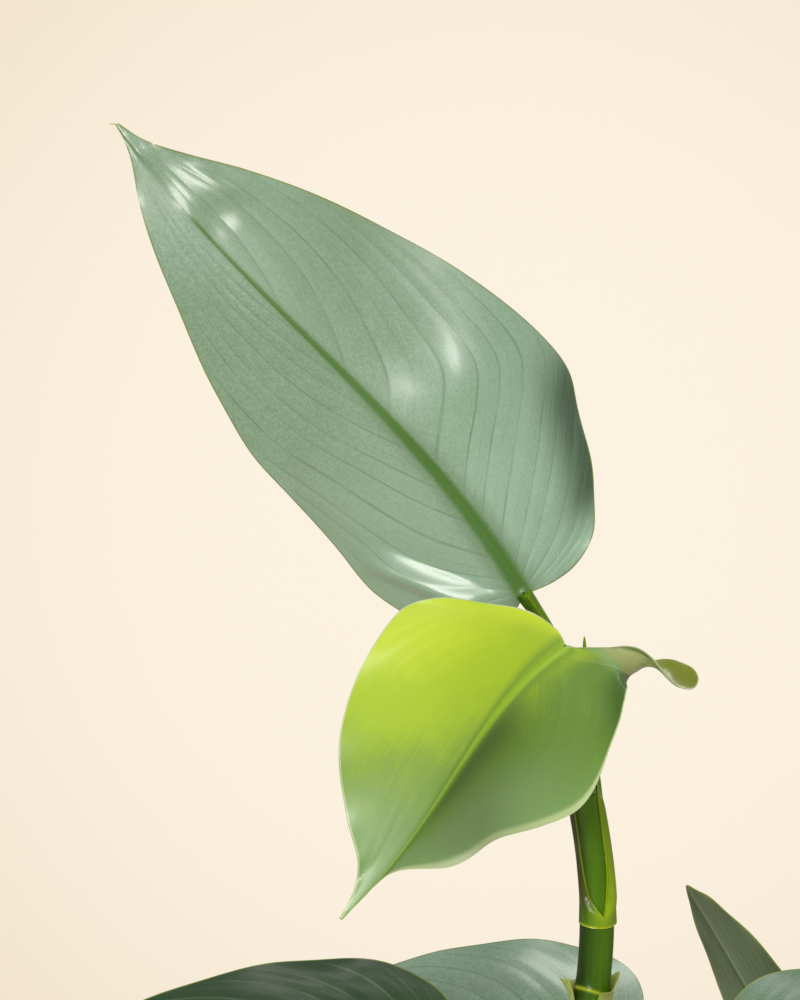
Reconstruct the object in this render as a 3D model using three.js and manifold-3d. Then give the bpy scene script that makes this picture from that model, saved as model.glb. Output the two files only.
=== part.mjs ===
// A young philodendron hastatum in a plain tapered pot: three stems standing in soil, each with long-
// stalked, arrow-shaped leaves. Every blade is one thin closed solid with a rib under its midrib, every
// leaf stalk clasps its stem with an open sheath, and the stems stand in plain holes in the soil.
// Millimetres, +Z up. The origin is the centre of the pot's underside, and the plant is seen from -Y.

import * as THREE from 'three';
import { mergeVertices } from 'three/addons/utils/BufferGeometryUtils.js';
import Module from 'manifold-3d';

const wasm = await Module();
wasm.setup();

// Clearance between pieces that touch
const GAP = 0.3;

// The pot and what fills it
const POT = {
  height: 155, rimRadius: 85, footRadius: 62, footRound: 4, wall: 6, floor: 8, sides: 40,
  drains: 4, drainRadius: 5, drainCircle: 34,
};
const SOIL = { top: 138, sides: 32, rings: [16, 33, 50, 65], relief: 2.2, bevel: 6 };

// Leaf blades: thickness, the rib under the midrib, and the half width as a share of the length. The rows
// of the blade's grid fan out from the joint, the more the larger fan is, and spacing keeps the first
// ones apart. COLUMNS are the places of the grid's columns between the midrib and the margin.
const BLADE = {
  thickness: 0.8, ribDepth: 2.4, ribTipDepth: 0.3, ribHalfWidth: 2.6, usualHalfWidth: 0.3, fan: 1.5,
  spacing: 0.03,
};
const COLUMNS = {
  few: [0.36, 0.7, 1], many: [0.3, 0.55, 0.8, 1], most: [0.3, 0.4, 0.5, 0.6, 0.7, 0.8, 0.9, 1],
};

// Leaf stalks: the sheath that clasps the stem, the slender upper part and its groove
const STALK = {
  sides: 8, steps: 9, sheathWall: 1.6, sheathShift: 1.9, sheathLength: 15, tipRadius: 2.3, taper: 0.9,
  groove: 0.22, climbs: 0.4, leans: 0.06, arrives: 0.3,
};

// Half of a blade's flat outline, from the sinus at the joint round the lobe to the tip.
// Each point is [along the midrib, out from it], as shares of the blade's length.
const OUTLINES = {
  grown: [
    [-0.012, 0.004], [-0.065, 0.05], [-0.105, 0.115], [-0.085, 0.195], [-0.01, 0.258], [0.09, 0.29],
    [0.2, 0.296], [0.32, 0.28], [0.44, 0.25], [0.56, 0.21], [0.68, 0.162], [0.79, 0.11], [0.88, 0.062],
    [0.945, 0.025], [1, 0.004],
  ],
  blunt: [
    [-0.012, 0.004], [-0.05, 0.06], [-0.07, 0.12], [-0.03, 0.19], [0.06, 0.23], [0.2, 0.25],
    [0.4, 0.24], [0.58, 0.205], [0.73, 0.16], [0.85, 0.11], [0.93, 0.066], [0.98, 0.024], [1, 0.004],
  ],
  crownLeft: [
    [-0.008, 0.006], [-0.02, 0.05], [0, 0.12], [0.06, 0.19], [0.14, 0.222], [0.24, 0.216],
    [0.36, 0.208], [0.47, 0.206], [0.58, 0.176], [0.7, 0.132], [0.8, 0.094], [0.88, 0.058], [0.94, 0.022],
    [0.975, 0.008], [1, 0.003],
  ],
  crownRight: [
    [-0.008, 0.006], [-0.022, 0.05], [-0.025, 0.1], [-0.005, 0.162], [0.045, 0.216], [0.1, 0.26],
    [0.165, 0.3], [0.225, 0.326], [0.3, 0.32], [0.48, 0.268], [0.6, 0.22], [0.71, 0.167],
    [0.81, 0.11], [0.89, 0.054], [0.95, 0.018], [1, 0.003],
  ],
  youngLeft: [
    [-0.012, 0.004], [-0.045, 0.04], [-0.1, 0.08], [-0.156, 0.126], [-0.205, 0.183], [-0.257, 0.239],
    [-0.282, 0.287], [-0.272, 0.317], [-0.24, 0.318], [-0.201, 0.287], [-0.158, 0.234], [-0.11, 0.196],
    [-0.05, 0.183], [0, 0.198], [0.065, 0.225], [0.205, 0.27], [0.33, 0.254], [0.46, 0.21], [0.585, 0.16],
    [0.695, 0.1], [0.81, 0.03], [0.9, 0.009], [1, 0.003],
  ],
  youngRight: [
    [-0.012, 0.004], [-0.035, 0.04], [-0.012, 0.13], [0.055, 0.228], [0.13, 0.308], [0.2, 0.34],
    [0.328, 0.34], [0.448, 0.32], [0.602, 0.27], [0.716, 0.205], [0.8, 0.125], [0.863, 0.055],
    [0.92, 0.02], [1, 0.003],
  ],
};

// The three stems: points on the centre line, the radius at the base and at the top, and the heights of
// the nodes
const NODE = { ring: 3, swelling: 0.5, sides: 12 };
const STEMS = {
  main: {
    radius: 5.75, topRadius: 4.3, narrows: [284, 290], nodes: [152, 166, 182, 204, 234, 264, 285],
    path: [
      [-8, 4, 95], [-6, 3, 140], [0, 1, 185], [7, 0, 232], [12, 0, 262], [13.8, 0, 286], [12.6, -1, 308],
      [9, -3, 332],
    ],
  },
  right: {
    radius: 4.8, topRadius: 3.6, narrows: [176, 188], nodes: [150, 162, 174],
    path: [[34, 14, 98], [36, 16, 140], [40, 18, 168], [45, 20, 190]],
  },
  left: {
    radius: 4.6, topRadius: 3.4, narrows: [156, 168], nodes: [152],
    path: [[-34, 26, 98], [-36, 28, 140], [-38, 30, 156], [-41, 32, 172]],
  },
};

// The leaves. joint is where blade and stalk meet; heading is the compass direction of the tip from +X
// towards +Y; rise lifts the midrib above the horizontal at the joint; roll lifts the leaf's own left
// side, and droop bends the midrib down from joint to tip. A side's fold is its slope at the midrib and
// its curl the further turn out to the margin, each at the joint, the middle and the tip. meets is the
// angle between stalk and midrib. Angles are in degrees. node is the height of the stalk's foot on its
// stem, on the side that leaves gives; a leaf without a node ends its stem.
const ARCHED = { fold: [10, 6, 2], curl: [-46, -40, -20] };
const LEAVES = {
  crown: {
    stem: 'main', node: 285, leaves: 58, sheath: 48, joint: [-11.6, -4, 400], length: 203, heading: 180,
    rise: 49.4, roll: -80, droop: 4, meets: 30, leans: -0.03, arrives: 0.42, rows: 22, columns: 'many',
    left: { outline: 'crownLeft', fold: [-24, -24, -10], curl: [-40, -16, -10] },
    right: { outline: 'crownRight', fold: [4, 4, 4], curl: [-50, -25, -10] },
    wave: { height: 1.5, count: 2.6, phase: 0.1 },
  },
  young: {
    stem: 'main', leaves: 250, joint: [0.4, -35, 386], length: 132, heading: 239, rise: -25, roll: -45,
    droop: 18, meets: 80, rows: 26, columns: 'most', fan: 4.5,
    left: { outline: 'youngLeft', fold: [0, -42, -30], curl: [-8, -14, -10] },
    right: { outline: 'youngRight', width: 1.06, fold: [2, 2, 2], curl: [-20, -20, -10] },
    wave: { height: 0.8, count: 2, phase: 0.3 },
    lobeTwist: { axis: [-0.656, 0.755], angle: 190, from: 17, to: 46 },
  },
  left: {
    stem: 'main', node: 204, leaves: 215, joint: [-50, -34, 240.2], length: 175, heading: 190, rise: 0,
    roll: -60, droop: 46, meets: 60, rows: 12, left: { ...ARCHED, width: 0.8 }, right: ARCHED,
    wave: { height: 1.5, count: 2, phase: 0 },
  },
  rear: {
    stem: 'main', node: 182, leaves: 70, joint: [16, 64, 224], length: 168, heading: 172, rise: 0,
    roll: -56, droop: 34, meets: 60, rows: 12, left: ARCHED, right: ARCHED,
    wave: { height: 1.5, count: 2, phase: 0.5 },
  },
  upright: {
    stem: 'right', node: 150, leaves: 10, joint: [113, 24, 169], length: 140, heading: 140, rise: 60,
    roll: 100, droop: 20, meets: 50, rows: 12,
    left: { ...ARCHED, outline: 'blunt', width: 0.66 }, right: { ...ARCHED, outline: 'blunt', width: 0.44 },
    wave: { height: 1.2, count: 2, phase: 0.2 },
  },
  right: {
    stem: 'right', leaves: 330, joint: [73, -6, 235], length: 160, heading: 350, rise: 0, roll: 58,
    droop: 34, meets: 60, rows: 12, left: ARCHED, right: ARCHED,
    wave: { height: 1.5, count: 2, phase: 0.4 },
  },
  front: {
    stem: 'main', node: 166, leaves: 265, joint: [6, -74, 214], length: 158, heading: 272, rise: -8,
    roll: 6, droop: 48, meets: 60, rows: 12, left: ARCHED, right: ARCHED,
    wave: { height: 2, count: 2.2, phase: 0.7 },
  },
  front_right: {
    stem: 'right', node: 174, leaves: 300, joint: [64, -66, 186], length: 146, heading: 316, rise: -12,
    roll: 4, droop: 46, meets: 60, rows: 12, left: ARCHED, right: ARCHED,
    wave: { height: 2, count: 2, phase: 0.35 },
  },
  back_right: {
    stem: 'right', node: 162, leaves: 80, joint: [72, 86, 200], length: 150, heading: 62, rise: -6,
    roll: 5, droop: 46, meets: 60, rows: 12, left: ARCHED, right: ARCHED,
    wave: { height: 2, count: 2.3, phase: 0.15 },
  },
  back: {
    stem: 'main', node: 152, leaves: 125, joint: [-30, 100, 182], length: 150, heading: 112, rise: -8,
    roll: -5, droop: 44, meets: 60, rows: 12, left: ARCHED, right: ARCHED,
    wave: { height: 2, count: 2.1, phase: 0.6 },
  },
  low_left: {
    stem: 'left', node: 152, leaves: 160, joint: [-100, 34, 190], length: 140, heading: 168, rise: -8,
    roll: 8, droop: 44, meets: 60, rows: 12, left: ARCHED, right: ARCHED,
    wave: { height: 2, count: 2, phase: 0.25 },
  },
  front_left: {
    stem: 'left', leaves: 225, joint: [-76, -62, 176], length: 146, heading: 222, rise: -12, roll: 8,
    droop: 44, meets: 60, rows: 12, left: ARCHED, right: ARCHED,
    wave: { height: 2, count: 2.2, phase: 0.8 },
  },
};

// The split bud sheaths that stay on nodes: stem, height of the foot, length, and the direction and width
// of the gap
const CUFF = { thickness: 0.7, clearance: 1.15, flare: 2.6, columns: 11, rows: 4 };
const COLLARS = [
  { name: 'main', stem: 'main', node: 262, height: 9, opens: 250, gap: 70 },
  { name: 'low', stem: 'main', node: 231, height: 14, opens: 20, gap: 110 },
  { name: 'right', stem: 'right', node: 176, height: 9, opens: 200, gap: 120 },
];

// Roots that leave the main stem in the air and run down into the soil
const ROOT = { sides: 8, steps: 10, taper: 0.35 };
const ROOTS = [
  {
    name: 'front', radius: 1.7,
    path: [[1, -4, 188], [6, -22, 178], [10, -30, 158], [11, -32, 138], [9, -33, 118]],
  },
  {
    name: 'side', radius: 1.5,
    path: [[-3, 1, 174], [-19, -6, 168], [-27, -10, 152], [-30, -12, 134], [-29, -15, 116]],
  },
  {
    name: 'back', radius: 1.4,
    path: [[4, 5, 206], [10, 22, 196], [14, 32, 170], [13, 36, 140], [10, 38, 118]],
  },
];

// The rolled tip of the next leaf, beside the young leaf's stalk
const SPEAR = {
  radius: 1.9, tipRadius: 0.35, sides: 8, steps: 8,
  path: [[11, 1.9, 331.5], [10.6, 1.9, 345], [9.8, 2.4, 364], [9.2, 1.2, 386]],
};

// Small helpers

const radians = THREE.MathUtils.degToRad;
const vector = ([x, y, z]) => new THREE.Vector3(x, y, z);
const smooth = (t) => THREE.MathUtils.smoothstep(t, 0, 1);

// A value given at the joint, the middle and the tip, read at the share t of the blade's length.
function staged([joint, middle, tip], t) {
  if (t < 0.5) return THREE.MathUtils.lerp(joint, middle, smooth(2 * t));
  return THREE.MathUtils.lerp(middle, tip, smooth(2 * t - 1));
}

// A closed geometry, with shared vertices merged, as a solid for joining and cutting.
function solid(geometry) {
  const bare = geometry.clone();
  bare.deleteAttribute('normal');
  bare.deleteAttribute('uv');
  const merged = mergeVertices(bare, 1e-4);
  return new wasm.Manifold(new wasm.Mesh({
    numProp: 3,
    vertProperties: new Float32Array(merged.attributes.position.array),
    triVerts: new Uint32Array(merged.index.array),
  }));
}

// The largest body of a solid: a cut can leave a loose scrap.
function mainBody(cut) {
  return cut.decompose().sort((a, b) => b.volume() - a.volume())[0];
}

// A solid as a mesh to show.
function shown(name, body, material) {
  const mesh = body.getMesh();
  const positions = new Float32Array(mesh.numVert * 3);
  for (let i = 0; i < mesh.numVert; i++) {
    const from = i * mesh.numProp;
    positions.set(mesh.vertProperties.subarray(from, from + 3), 3 * i);
  }
  const geometry = new THREE.BufferGeometry();
  geometry.setAttribute('position', new THREE.BufferAttribute(positions, 3));
  geometry.setIndex(new THREE.BufferAttribute(new Uint32Array(mesh.triVerts), 1));
  geometry.computeVertexNormals();
  const made = new THREE.Mesh(geometry, material);
  made.name = name;
  return made;
}

// A cylinder bent along a curve. `stations` are shares of the curve, `radiusAt(share)` its radius there,
// and `profile(angle)` scales the radius round the section, with angle 0 on the side that faces `up`.
function bentCylinder(curve, stations, radiusAt, sides, up, profile = () => 1) {
  const geometry = new THREE.CylinderGeometry(1, 1, 1, sides, stations.length - 1);
  const place = geometry.attributes.position;
  for (let i = 0; i < place.count; i++) {
    const share = stations[Math.round((place.getY(i) + 0.5) * (stations.length - 1))];
    const centre = curve.getPoint(share);
    const tangent = curve.getTangent(share);
    const side = new THREE.Vector3().crossVectors(tangent, up).normalize();
    const top = new THREE.Vector3().crossVectors(side, tangent);
    const angle = Math.atan2(place.getX(i), place.getZ(i));
    const radius = radiusAt(share) * Math.hypot(place.getX(i), place.getZ(i)) * profile(angle);
    centre.addScaledVector(top, radius * Math.cos(angle)).addScaledVector(side, radius * Math.sin(angle));
    place.setXYZ(i, centre.x, centre.y, centre.z);
  }
  return geometry;
}

// The share of a rising curve at which it passes a height.
function shareAtHeight(curve, height) {
  let [low, high] = [0, 1];
  for (let i = 0; i < 30; i++) {
    const middle = (low + high) / 2;
    if (curve.getPoint(middle).z < height) low = middle;
    else high = middle;
  }
  return low;
}

// Pot

function potGeometry() {
  const { height, rimRadius, footRadius, footRound, wall, floor, sides } = POT;
  const lean = (rimRadius - footRadius) / height;
  const round = (x, y, radius, from, to, steps) => Array.from({ length: steps + 1 }, (_, i) => {
    const angle = radians(from + ((to - from) * i) / steps);
    return new THREE.Vector2(x + radius * Math.cos(angle), y + radius * Math.sin(angle));
  });
  const lip = wall / 2;
  const profile = [
    new THREE.Vector2(0, 0),
    ...round(footRadius + lean * footRound - footRound, footRound, footRound, -90, -8, 3),
    ...round(rimRadius - lip, height - lip, lip, 0, 180, 4),
    new THREE.Vector2(footRadius - wall + lean * floor + 3, floor + 5),
    new THREE.Vector2(footRadius - wall + lean * floor - 3, floor),
    new THREE.Vector2(0, floor),
  ];
  return new THREE.LatheGeometry(profile, sides).rotateX(Math.PI / 2);
}

function drainGeometry(index) {
  const angle = radians(45 + (360 * index) / POT.drains);
  return new THREE.CylinderGeometry(POT.drainRadius, POT.drainRadius, 3 * POT.floor, 12)
    .rotateX(Math.PI / 2)
    .translate(POT.drainCircle * Math.cos(angle), POT.drainCircle * Math.sin(angle), POT.floor / 2);
}

// The radius of the pot's inner wall at a height.
function innerRadius(z) {
  const { height, rimRadius, footRadius, wall } = POT;
  return footRadius - wall + ((rimRadius - footRadius) * z) / height;
}

// Soil

// The height of the crumbly top of the soil above its mean level.
function soilRelief(x, y) {
  const broad = Math.sin(0.11 * x + 0.6) * Math.cos(0.13 * y - 0.4);
  const lumps = Math.sin(0.31 * x - 0.2 * y) * Math.sin(0.27 * y + 0.9);
  return SOIL.relief * (0.6 * broad + 0.4 * lumps);
}

function soilGeometry() {
  const bottom = POT.floor + GAP;
  const { bevel } = SOIL;
  const edge = innerRadius(SOIL.top) - GAP - 0.4;
  const profile = [
    new THREE.Vector2(0, bottom),
    new THREE.Vector2(innerRadius(bottom) - bevel - GAP, bottom),
    new THREE.Vector2(innerRadius(bottom + bevel) - GAP - 0.6, bottom + bevel),
    new THREE.Vector2(edge, SOIL.top - 2),
    ...SOIL.rings.toReversed().map((radius) => new THREE.Vector2(radius, SOIL.top)),
    new THREE.Vector2(0, SOIL.top),
  ];
  const geometry = new THREE.LatheGeometry(profile, SOIL.sides).rotateX(Math.PI / 2);
  const place = geometry.attributes.position;
  for (let i = 0; i < place.count; i++) {
    if (place.getZ(i) > SOIL.top - 1) place.setZ(i, SOIL.top + soilRelief(place.getX(i), place.getY(i)));
  }
  return geometry;
}

// Stems

function stemCurve(stem) {
  return new THREE.CatmullRomCurve3(stem.path.map(vector), false, 'catmullrom', 0.5);
}

// A stem is a little thicker in a ring at each node, and narrower towards its growing tip.
function stemGeometry(stem, extra = 0) {
  const curve = stemCurve(stem);
  const { ring } = NODE;
  const heights = [...stem.narrows, ...stem.nodes.flatMap((z) => [z - ring, z, z + ring])]
    .sort((a, b) => a - b)
    .filter((z, i, all) => i === 0 || z - all[i - 1] > 1);
  const stations = [0, ...heights.map((z) => shareAtHeight(curve, z)), 1];
  const radiusAt = (share) => {
    const z = curve.getPoint(share).z;
    const [from, to] = stem.narrows;
    const swelling = Math.max(...stem.nodes.map((node) => Math.exp(-(((z - node) / ring) ** 2))));
    const plain = THREE.MathUtils.lerp(stem.radius, stem.topRadius, smooth((z - from) / (to - from)));
    return plain + NODE.swelling * swelling + extra;
  };
  return bentCylinder(curve, stations, radiusAt, NODE.sides, new THREE.Vector3(0, -1, 0));
}

// Leaves

// The leaf's own directions at the joint: along the midrib, to its left, and out of its upper face.
function leafAxes(leaf) {
  const [heading, rise, roll] = [leaf.heading, leaf.rise, leaf.roll].map(radians);
  const along = new THREE.Vector3(
    Math.cos(rise) * Math.cos(heading), Math.cos(rise) * Math.sin(heading), Math.sin(rise));
  const left = new THREE.Vector3(-Math.sin(heading), Math.cos(heading), 0).applyAxisAngle(along, roll);
  const out = new THREE.Vector3().crossVectors(along, left);
  return { along, left, out };
}

// Places and directions along the midrib, from behind the joint, where the lobes lie, to the tip.
function midrib(leaf) {
  const stepsAhead = 48;
  const stepsBehind = 16;
  const step = leaf.length / stepsAhead;
  const frameAt = (index) => {
    const { along, left, out } = leafAxes(leaf);
    const down = (radians(leaf.droop) * index) / stepsAhead;
    return [along, left, out].map((direction) => direction.clone().applyAxisAngle(left, down));
  };
  const frames = [];
  let place = vector(leaf.joint);
  for (let i = 0; i <= stepsAhead; i++) {
    frames[stepsBehind + i] = { place: place.clone(), axes: frameAt(i) };
    place.addScaledVector(frameAt(i + 0.5)[0], step);
  }
  place = vector(leaf.joint);
  for (let i = 1; i <= stepsBehind; i++) {
    place.addScaledVector(frameAt(0.5 - i)[0], -step);
    frames[stepsBehind - i] = { place: place.clone(), axes: frameAt(-i) };
  }
  return (a) => {
    const index = THREE.MathUtils.clamp(a / step + stepsBehind, 0, stepsAhead + stepsBehind - 1e-6);
    const [before, after] = [frames[Math.floor(index)], frames[Math.floor(index) + 1]];
    const mix = index - Math.floor(index);
    return {
      place: before.place.clone().lerp(after.place, mix),
      axes: before.axes.map((direction, k) => direction.clone().lerp(after.axes[k], mix).normalize()),
    };
  };
}

// Where a point of the flat blade, `a` along the midrib and `b` to its left, lies on the bent leaf.
function bladePoint(leaf, spine, a, b) {
  let lift = 0;
  const twist = leaf.lobeTwist;
  if (twist && b > 0) {
    // The left lobe turns about its own axis, which runs from the joint back and out to the lobe's end.
    const axis = new THREE.Vector2(...twist.axis).normalize();
    const reach = a * axis.x + b * axis.y;
    const across = a * -axis.y + b * axis.x;
    const turn = radians(twist.angle) * smooth((reach - twist.from) / (twist.to - twist.from));
    const behind = smooth((-2 - a) / 12);
    const flat = across * THREE.MathUtils.lerp(1, Math.cos(turn), behind);
    lift = across * Math.sin(turn) * behind;
    a = reach * axis.x - flat * axis.y;
    b = reach * axis.y + flat * axis.x;
  }
  const side = b > 0 ? leaf.left : leaf.right;
  const share = a / leaf.length;
  const halfWidth = BLADE.usualHalfWidth * leaf.length * (side.width ?? 1);
  const fold = radians(staged(side.fold, share));
  const curl = radians(staged(side.curl, share)) / halfWidth || 1e-6;
  const away = Math.abs(b);
  const out = (Math.sin(fold + curl * away) - Math.sin(fold)) / curl;
  const up = (Math.cos(fold) - Math.cos(fold + curl * away)) / curl;
  const ripple = leaf.wave.height * (away / halfWidth) ** 2
    * Math.sin(2 * Math.PI * (leaf.wave.count * share + leaf.wave.phase + (b > 0 ? 0 : 0.37)));
  const { place, axes } = spine(a);
  return place.addScaledVector(axes[1], Math.sign(b) * out).addScaledVector(axes[2], up + ripple + lift);
}

// A thin closed solid on a grid: an upper and a lower face with the same triangles, and a rim round them.
// cells(column, row) gives the upper and the lower point.
function sheetGeometry(columns, rows, cells) {
  const grid = new THREE.PlaneGeometry(1, 1, columns - 1, rows - 1);
  const count = columns * rows;
  const points = Array.from({ length: count }, (_, i) => cells(i % columns, Math.floor(i / columns)));
  const index = [];
  const faces = grid.index.array;
  for (let i = 0; i < faces.length; i += 3) {
    const [p, q, r] = [faces[i], faces[i + 1], faces[i + 2]];
    index.push(p, q, r, count + p, count + r, count + q);
  }
  const border = [];
  for (let i = 0; i < columns - 1; i++) border.push(i);
  for (let i = 0; i < rows - 1; i++) border.push(i * columns + columns - 1);
  for (let i = columns - 1; i > 0; i--) border.push((rows - 1) * columns + i);
  for (let i = rows - 1; i > 0; i--) border.push(i * columns);
  border.forEach((p, i) => {
    const q = border[(i + 1) % border.length];
    index.push(p, q, count + q, p, count + q, count + p);
  });
  const corners = [...points.map((pair) => pair[0]), ...points.map((pair) => pair[1])];
  const geometry = new THREE.BufferGeometry();
  geometry.setAttribute('position', new THREE.Float32BufferAttribute(corners.flatMap((p) => p.toArray()), 3));
  geometry.setIndex(index);
  return geometry;
}

function bladeGeometry(leaf) {
  const spine = midrib(leaf);
  const half = ({ outline = 'grown', width = 1 }) => new THREE.SplineCurve(OUTLINES[outline].map(
    ([a, b]) => new THREE.Vector2(a * leaf.length, b * leaf.length * width)));
  const margins = { left: half(leaf.left), right: half(leaf.right) };
  const away = COLUMNS[leaf.columns ?? 'few'];
  const shares = [...away.toReversed().map((v) => -v), 'ribRight', 0, 'ribLeft', ...away];
  return sheetGeometry(shares.length, leaf.rows + 1, (column, line) => {
    const row = line / leaf.rows;
    const share = shares[column];
    const isRight = column < (shares.length - 1) / 2;
    const margin = (isRight ? margins.right : margins.left).getPoint(row);
    const start = leaf.length * THREE.MathUtils.lerp(row ** (leaf.fan ?? BLADE.fan), row, BLADE.spacing);
    const besideRib = Math.min(0.25, BLADE.ribHalfWidth / margin.y);
    const v = typeof share === 'string' ? besideRib : Math.abs(share);
    const a = THREE.MathUtils.lerp(start, margin.x, v);
    const b = (isRight ? -1 : 1) * margin.y * v;
    const nudge = 0.4;
    const alongBlade = bladePoint(leaf, spine, a + nudge, b).sub(bladePoint(leaf, spine, a - nudge, b));
    const acrossBlade = bladePoint(leaf, spine, a, b + nudge).sub(bladePoint(leaf, spine, a, b - nudge));
    const normal = alongBlade.cross(acrossBlade).normalize();
    const ribDepth = THREE.MathUtils.lerp(BLADE.ribDepth, BLADE.ribTipDepth, start / leaf.length);
    const rib = share === 0 ? ribDepth : 0;
    const place = bladePoint(leaf, spine, a, b);
    return [
      place.clone().addScaledVector(normal, BLADE.thickness / 2),
      place.clone().addScaledVector(normal, -BLADE.thickness / 2 - rib),
    ];
  });
}

// The line of a leaf stalk: up inside its sheath beside the stem, then out to the joint from below the
// blade.
function stalkCurve(leaf) {
  const stem = stemCurve(STEMS[leaf.stem]);
  const start = leaf.node ? shareAtHeight(stem, leaf.node) : 1;
  const climb = stem.getTangent(start);
  const outward = new THREE.Vector3(Math.cos(radians(leaf.leaves)), Math.sin(radians(leaf.leaves)), 0);
  const root = stem.getPoint(start).addScaledVector(outward, leaf.node ? STALK.sheathShift : 0);
  if (!leaf.node) root.addScaledVector(climb, GAP);
  const { along, out } = leafAxes(leaf);
  const meets = radians(leaf.meets);
  const arrive = along.clone().multiplyScalar(Math.cos(meets)).addScaledVector(out, Math.sin(meets));
  const end = vector(leaf.joint).addScaledVector(arrive, -BLADE.thickness / 2 - GAP);
  const reach = root.distanceTo(end);
  const leans = leaf.node ? leaf.leans ?? STALK.leans : 0;
  return new THREE.CubicBezierCurve3(
    root,
    root.clone().addScaledVector(climb, STALK.climbs * reach).addScaledVector(outward, leans * reach),
    end.clone().addScaledVector(arrive, -(leaf.arrives ?? STALK.arrives) * reach),
    end);
}

function stalkGeometry(leaf, extra = 0) {
  const curve = stalkCurve(leaf);
  const stem = STEMS[leaf.stem];
  const { sides, steps, sheathWall, sheathLength, tipRadius, taper, groove } = STALK;
  const length = curve.getLength();
  const stations = Array.from({ length: steps + 1 }, (_, i) => (i / steps) ** 1.25);
  const stemRadius = leaf.node < stem.narrows[0] ? stem.radius : stem.topRadius;
  const foot = stemRadius + (leaf.node ? sheathWall : 0);
  const radiusAt = (share) => {
    const narrowing = smooth((share * length) / (leaf.sheath ?? sheathLength));
    const slender = tipRadius + taper * (1 - share);
    return THREE.MathUtils.lerp(foot, slender, narrowing) + extra;
  };
  const inward = new THREE.Vector3(-Math.cos(radians(leaf.leaves)), -Math.sin(radians(leaf.leaves)), 0.2);
  const profile = (angle) => 1 - groove * Math.exp(-((angle / 0.5) ** 2));
  return bentCylinder(curve, stations, radiusAt, sides, inward, extra ? undefined : profile);
}

// Bud sheaths, roots and the spear

// A collar is a short torn cuff that stands a little way off its stem and flares upwards.
function collarGeometry(collar) {
  const stem = STEMS[collar.stem];
  const curve = stemCurve(stem);
  const base = shareAtHeight(curve, collar.node);
  const { thickness, clearance, flare, columns, rows } = CUFF;
  return sheetGeometry(columns, rows, (column, row) => {
    const round = column / (columns - 1);
    const up = row / (rows - 1);
    const angle = radians(collar.opens + collar.gap / 2 + (360 - collar.gap) * round);
    const torn = collar.height * (0.75 + 0.25 * Math.sin(9 * round + collar.node));
    const centre = curve.getPoint(base);
    centre.z += torn * up;
    const spread = stem.radius + clearance + flare * up ** 1.6;
    const outward = new THREE.Vector3(Math.cos(angle), Math.sin(angle), 0);
    return [
      centre.clone().addScaledVector(outward, spread),
      centre.clone().addScaledVector(outward, spread + thickness),
    ];
  });
}

function rootGeometry(root, extra = 0) {
  const curve = new THREE.CatmullRomCurve3(root.path.map(vector));
  const stations = Array.from({ length: ROOT.steps + 1 }, (_, i) => i / ROOT.steps);
  const radiusAt = (share) => root.radius * (1 - ROOT.taper * share) + extra;
  return bentCylinder(curve, stations, radiusAt, ROOT.sides, new THREE.Vector3(1, 0, 0));
}

function spearGeometry() {
  const curve = new THREE.CatmullRomCurve3(SPEAR.path.map(vector));
  const stations = Array.from({ length: SPEAR.steps + 1 }, (_, i) => i / SPEAR.steps);
  const radiusAt = (share) => Math.max(SPEAR.tipRadius, SPEAR.radius * (1 - share ** 2.4));
  return bentCylinder(curve, stations, radiusAt, SPEAR.sides, new THREE.Vector3(0, -1, 0));
}

// Materials

const matte = (color, roughness) => new THREE.MeshStandardMaterial({ color, roughness, metalness: 0 });
const MATERIALS = {
  pot: matte('#d9d2c6', 0.7),
  soil: matte('#3b2a20', 0.95),
  stem: matte('#4f7d12', 0.4),
  stalk: matte('#5c8a24', 0.42),
  blade: matte('#8aa68f', 0.38),
  youngBlade: matte('#a9cc3a', 0.4),
  husk: matte('#a9b56a', 0.6),
  root: matte('#8a7a52', 0.8),
};

// Assembly

const plant = new THREE.Group();

// Each new piece is cut clear of the pieces before it that it touches.
function cutClear(body, cutters) {
  return mainBody(cutters.reduce((left, cutter) => left.subtract(cutter), body));
}

const stemCutters = [];
for (const [name, stem] of Object.entries(STEMS)) {
  plant.add(shown(`stem_${name}`, solid(stemGeometry(stem)), MATERIALS.stem));
  stemCutters.push(solid(stemGeometry(stem, GAP)));
}

const growthCutters = [...stemCutters];
for (const [name, leaf] of Object.entries(LEAVES)) {
  plant.add(shown(`${name}_stalk`, cutClear(solid(stalkGeometry(leaf)), growthCutters), MATERIALS.stalk));
  const cutter = solid(stalkGeometry(leaf, GAP));
  growthCutters.push(cutter);
  const blade = cutClear(solid(bladeGeometry(leaf)), [cutter]);
  plant.add(shown(`${name}_blade`, blade, name === 'young' ? MATERIALS.youngBlade : MATERIALS.blade));
}

for (const collar of COLLARS) {
  const cuff = cutClear(solid(collarGeometry(collar)), growthCutters);
  plant.add(shown(`collar_${collar.name}`, cuff, MATERIALS.husk));
}
plant.add(shown('spear', cutClear(solid(spearGeometry()), growthCutters), MATERIALS.stalk));

const rootCutters = [];
for (const root of ROOTS) {
  plant.add(shown(`root_${root.name}`, cutClear(solid(rootGeometry(root)), growthCutters), MATERIALS.root));
  rootCutters.push(solid(rootGeometry(root, GAP)));
}

const soil = cutClear(solid(soilGeometry()), [...growthCutters, ...rootCutters]);
plant.add(shown('soil', soil, MATERIALS.soil));

const drains = Array.from({ length: POT.drains }, (_, i) => solid(drainGeometry(i)));
plant.add(shown('pot', cutClear(solid(potGeometry()), drains), MATERIALS.pot));

export default plant;
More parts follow.
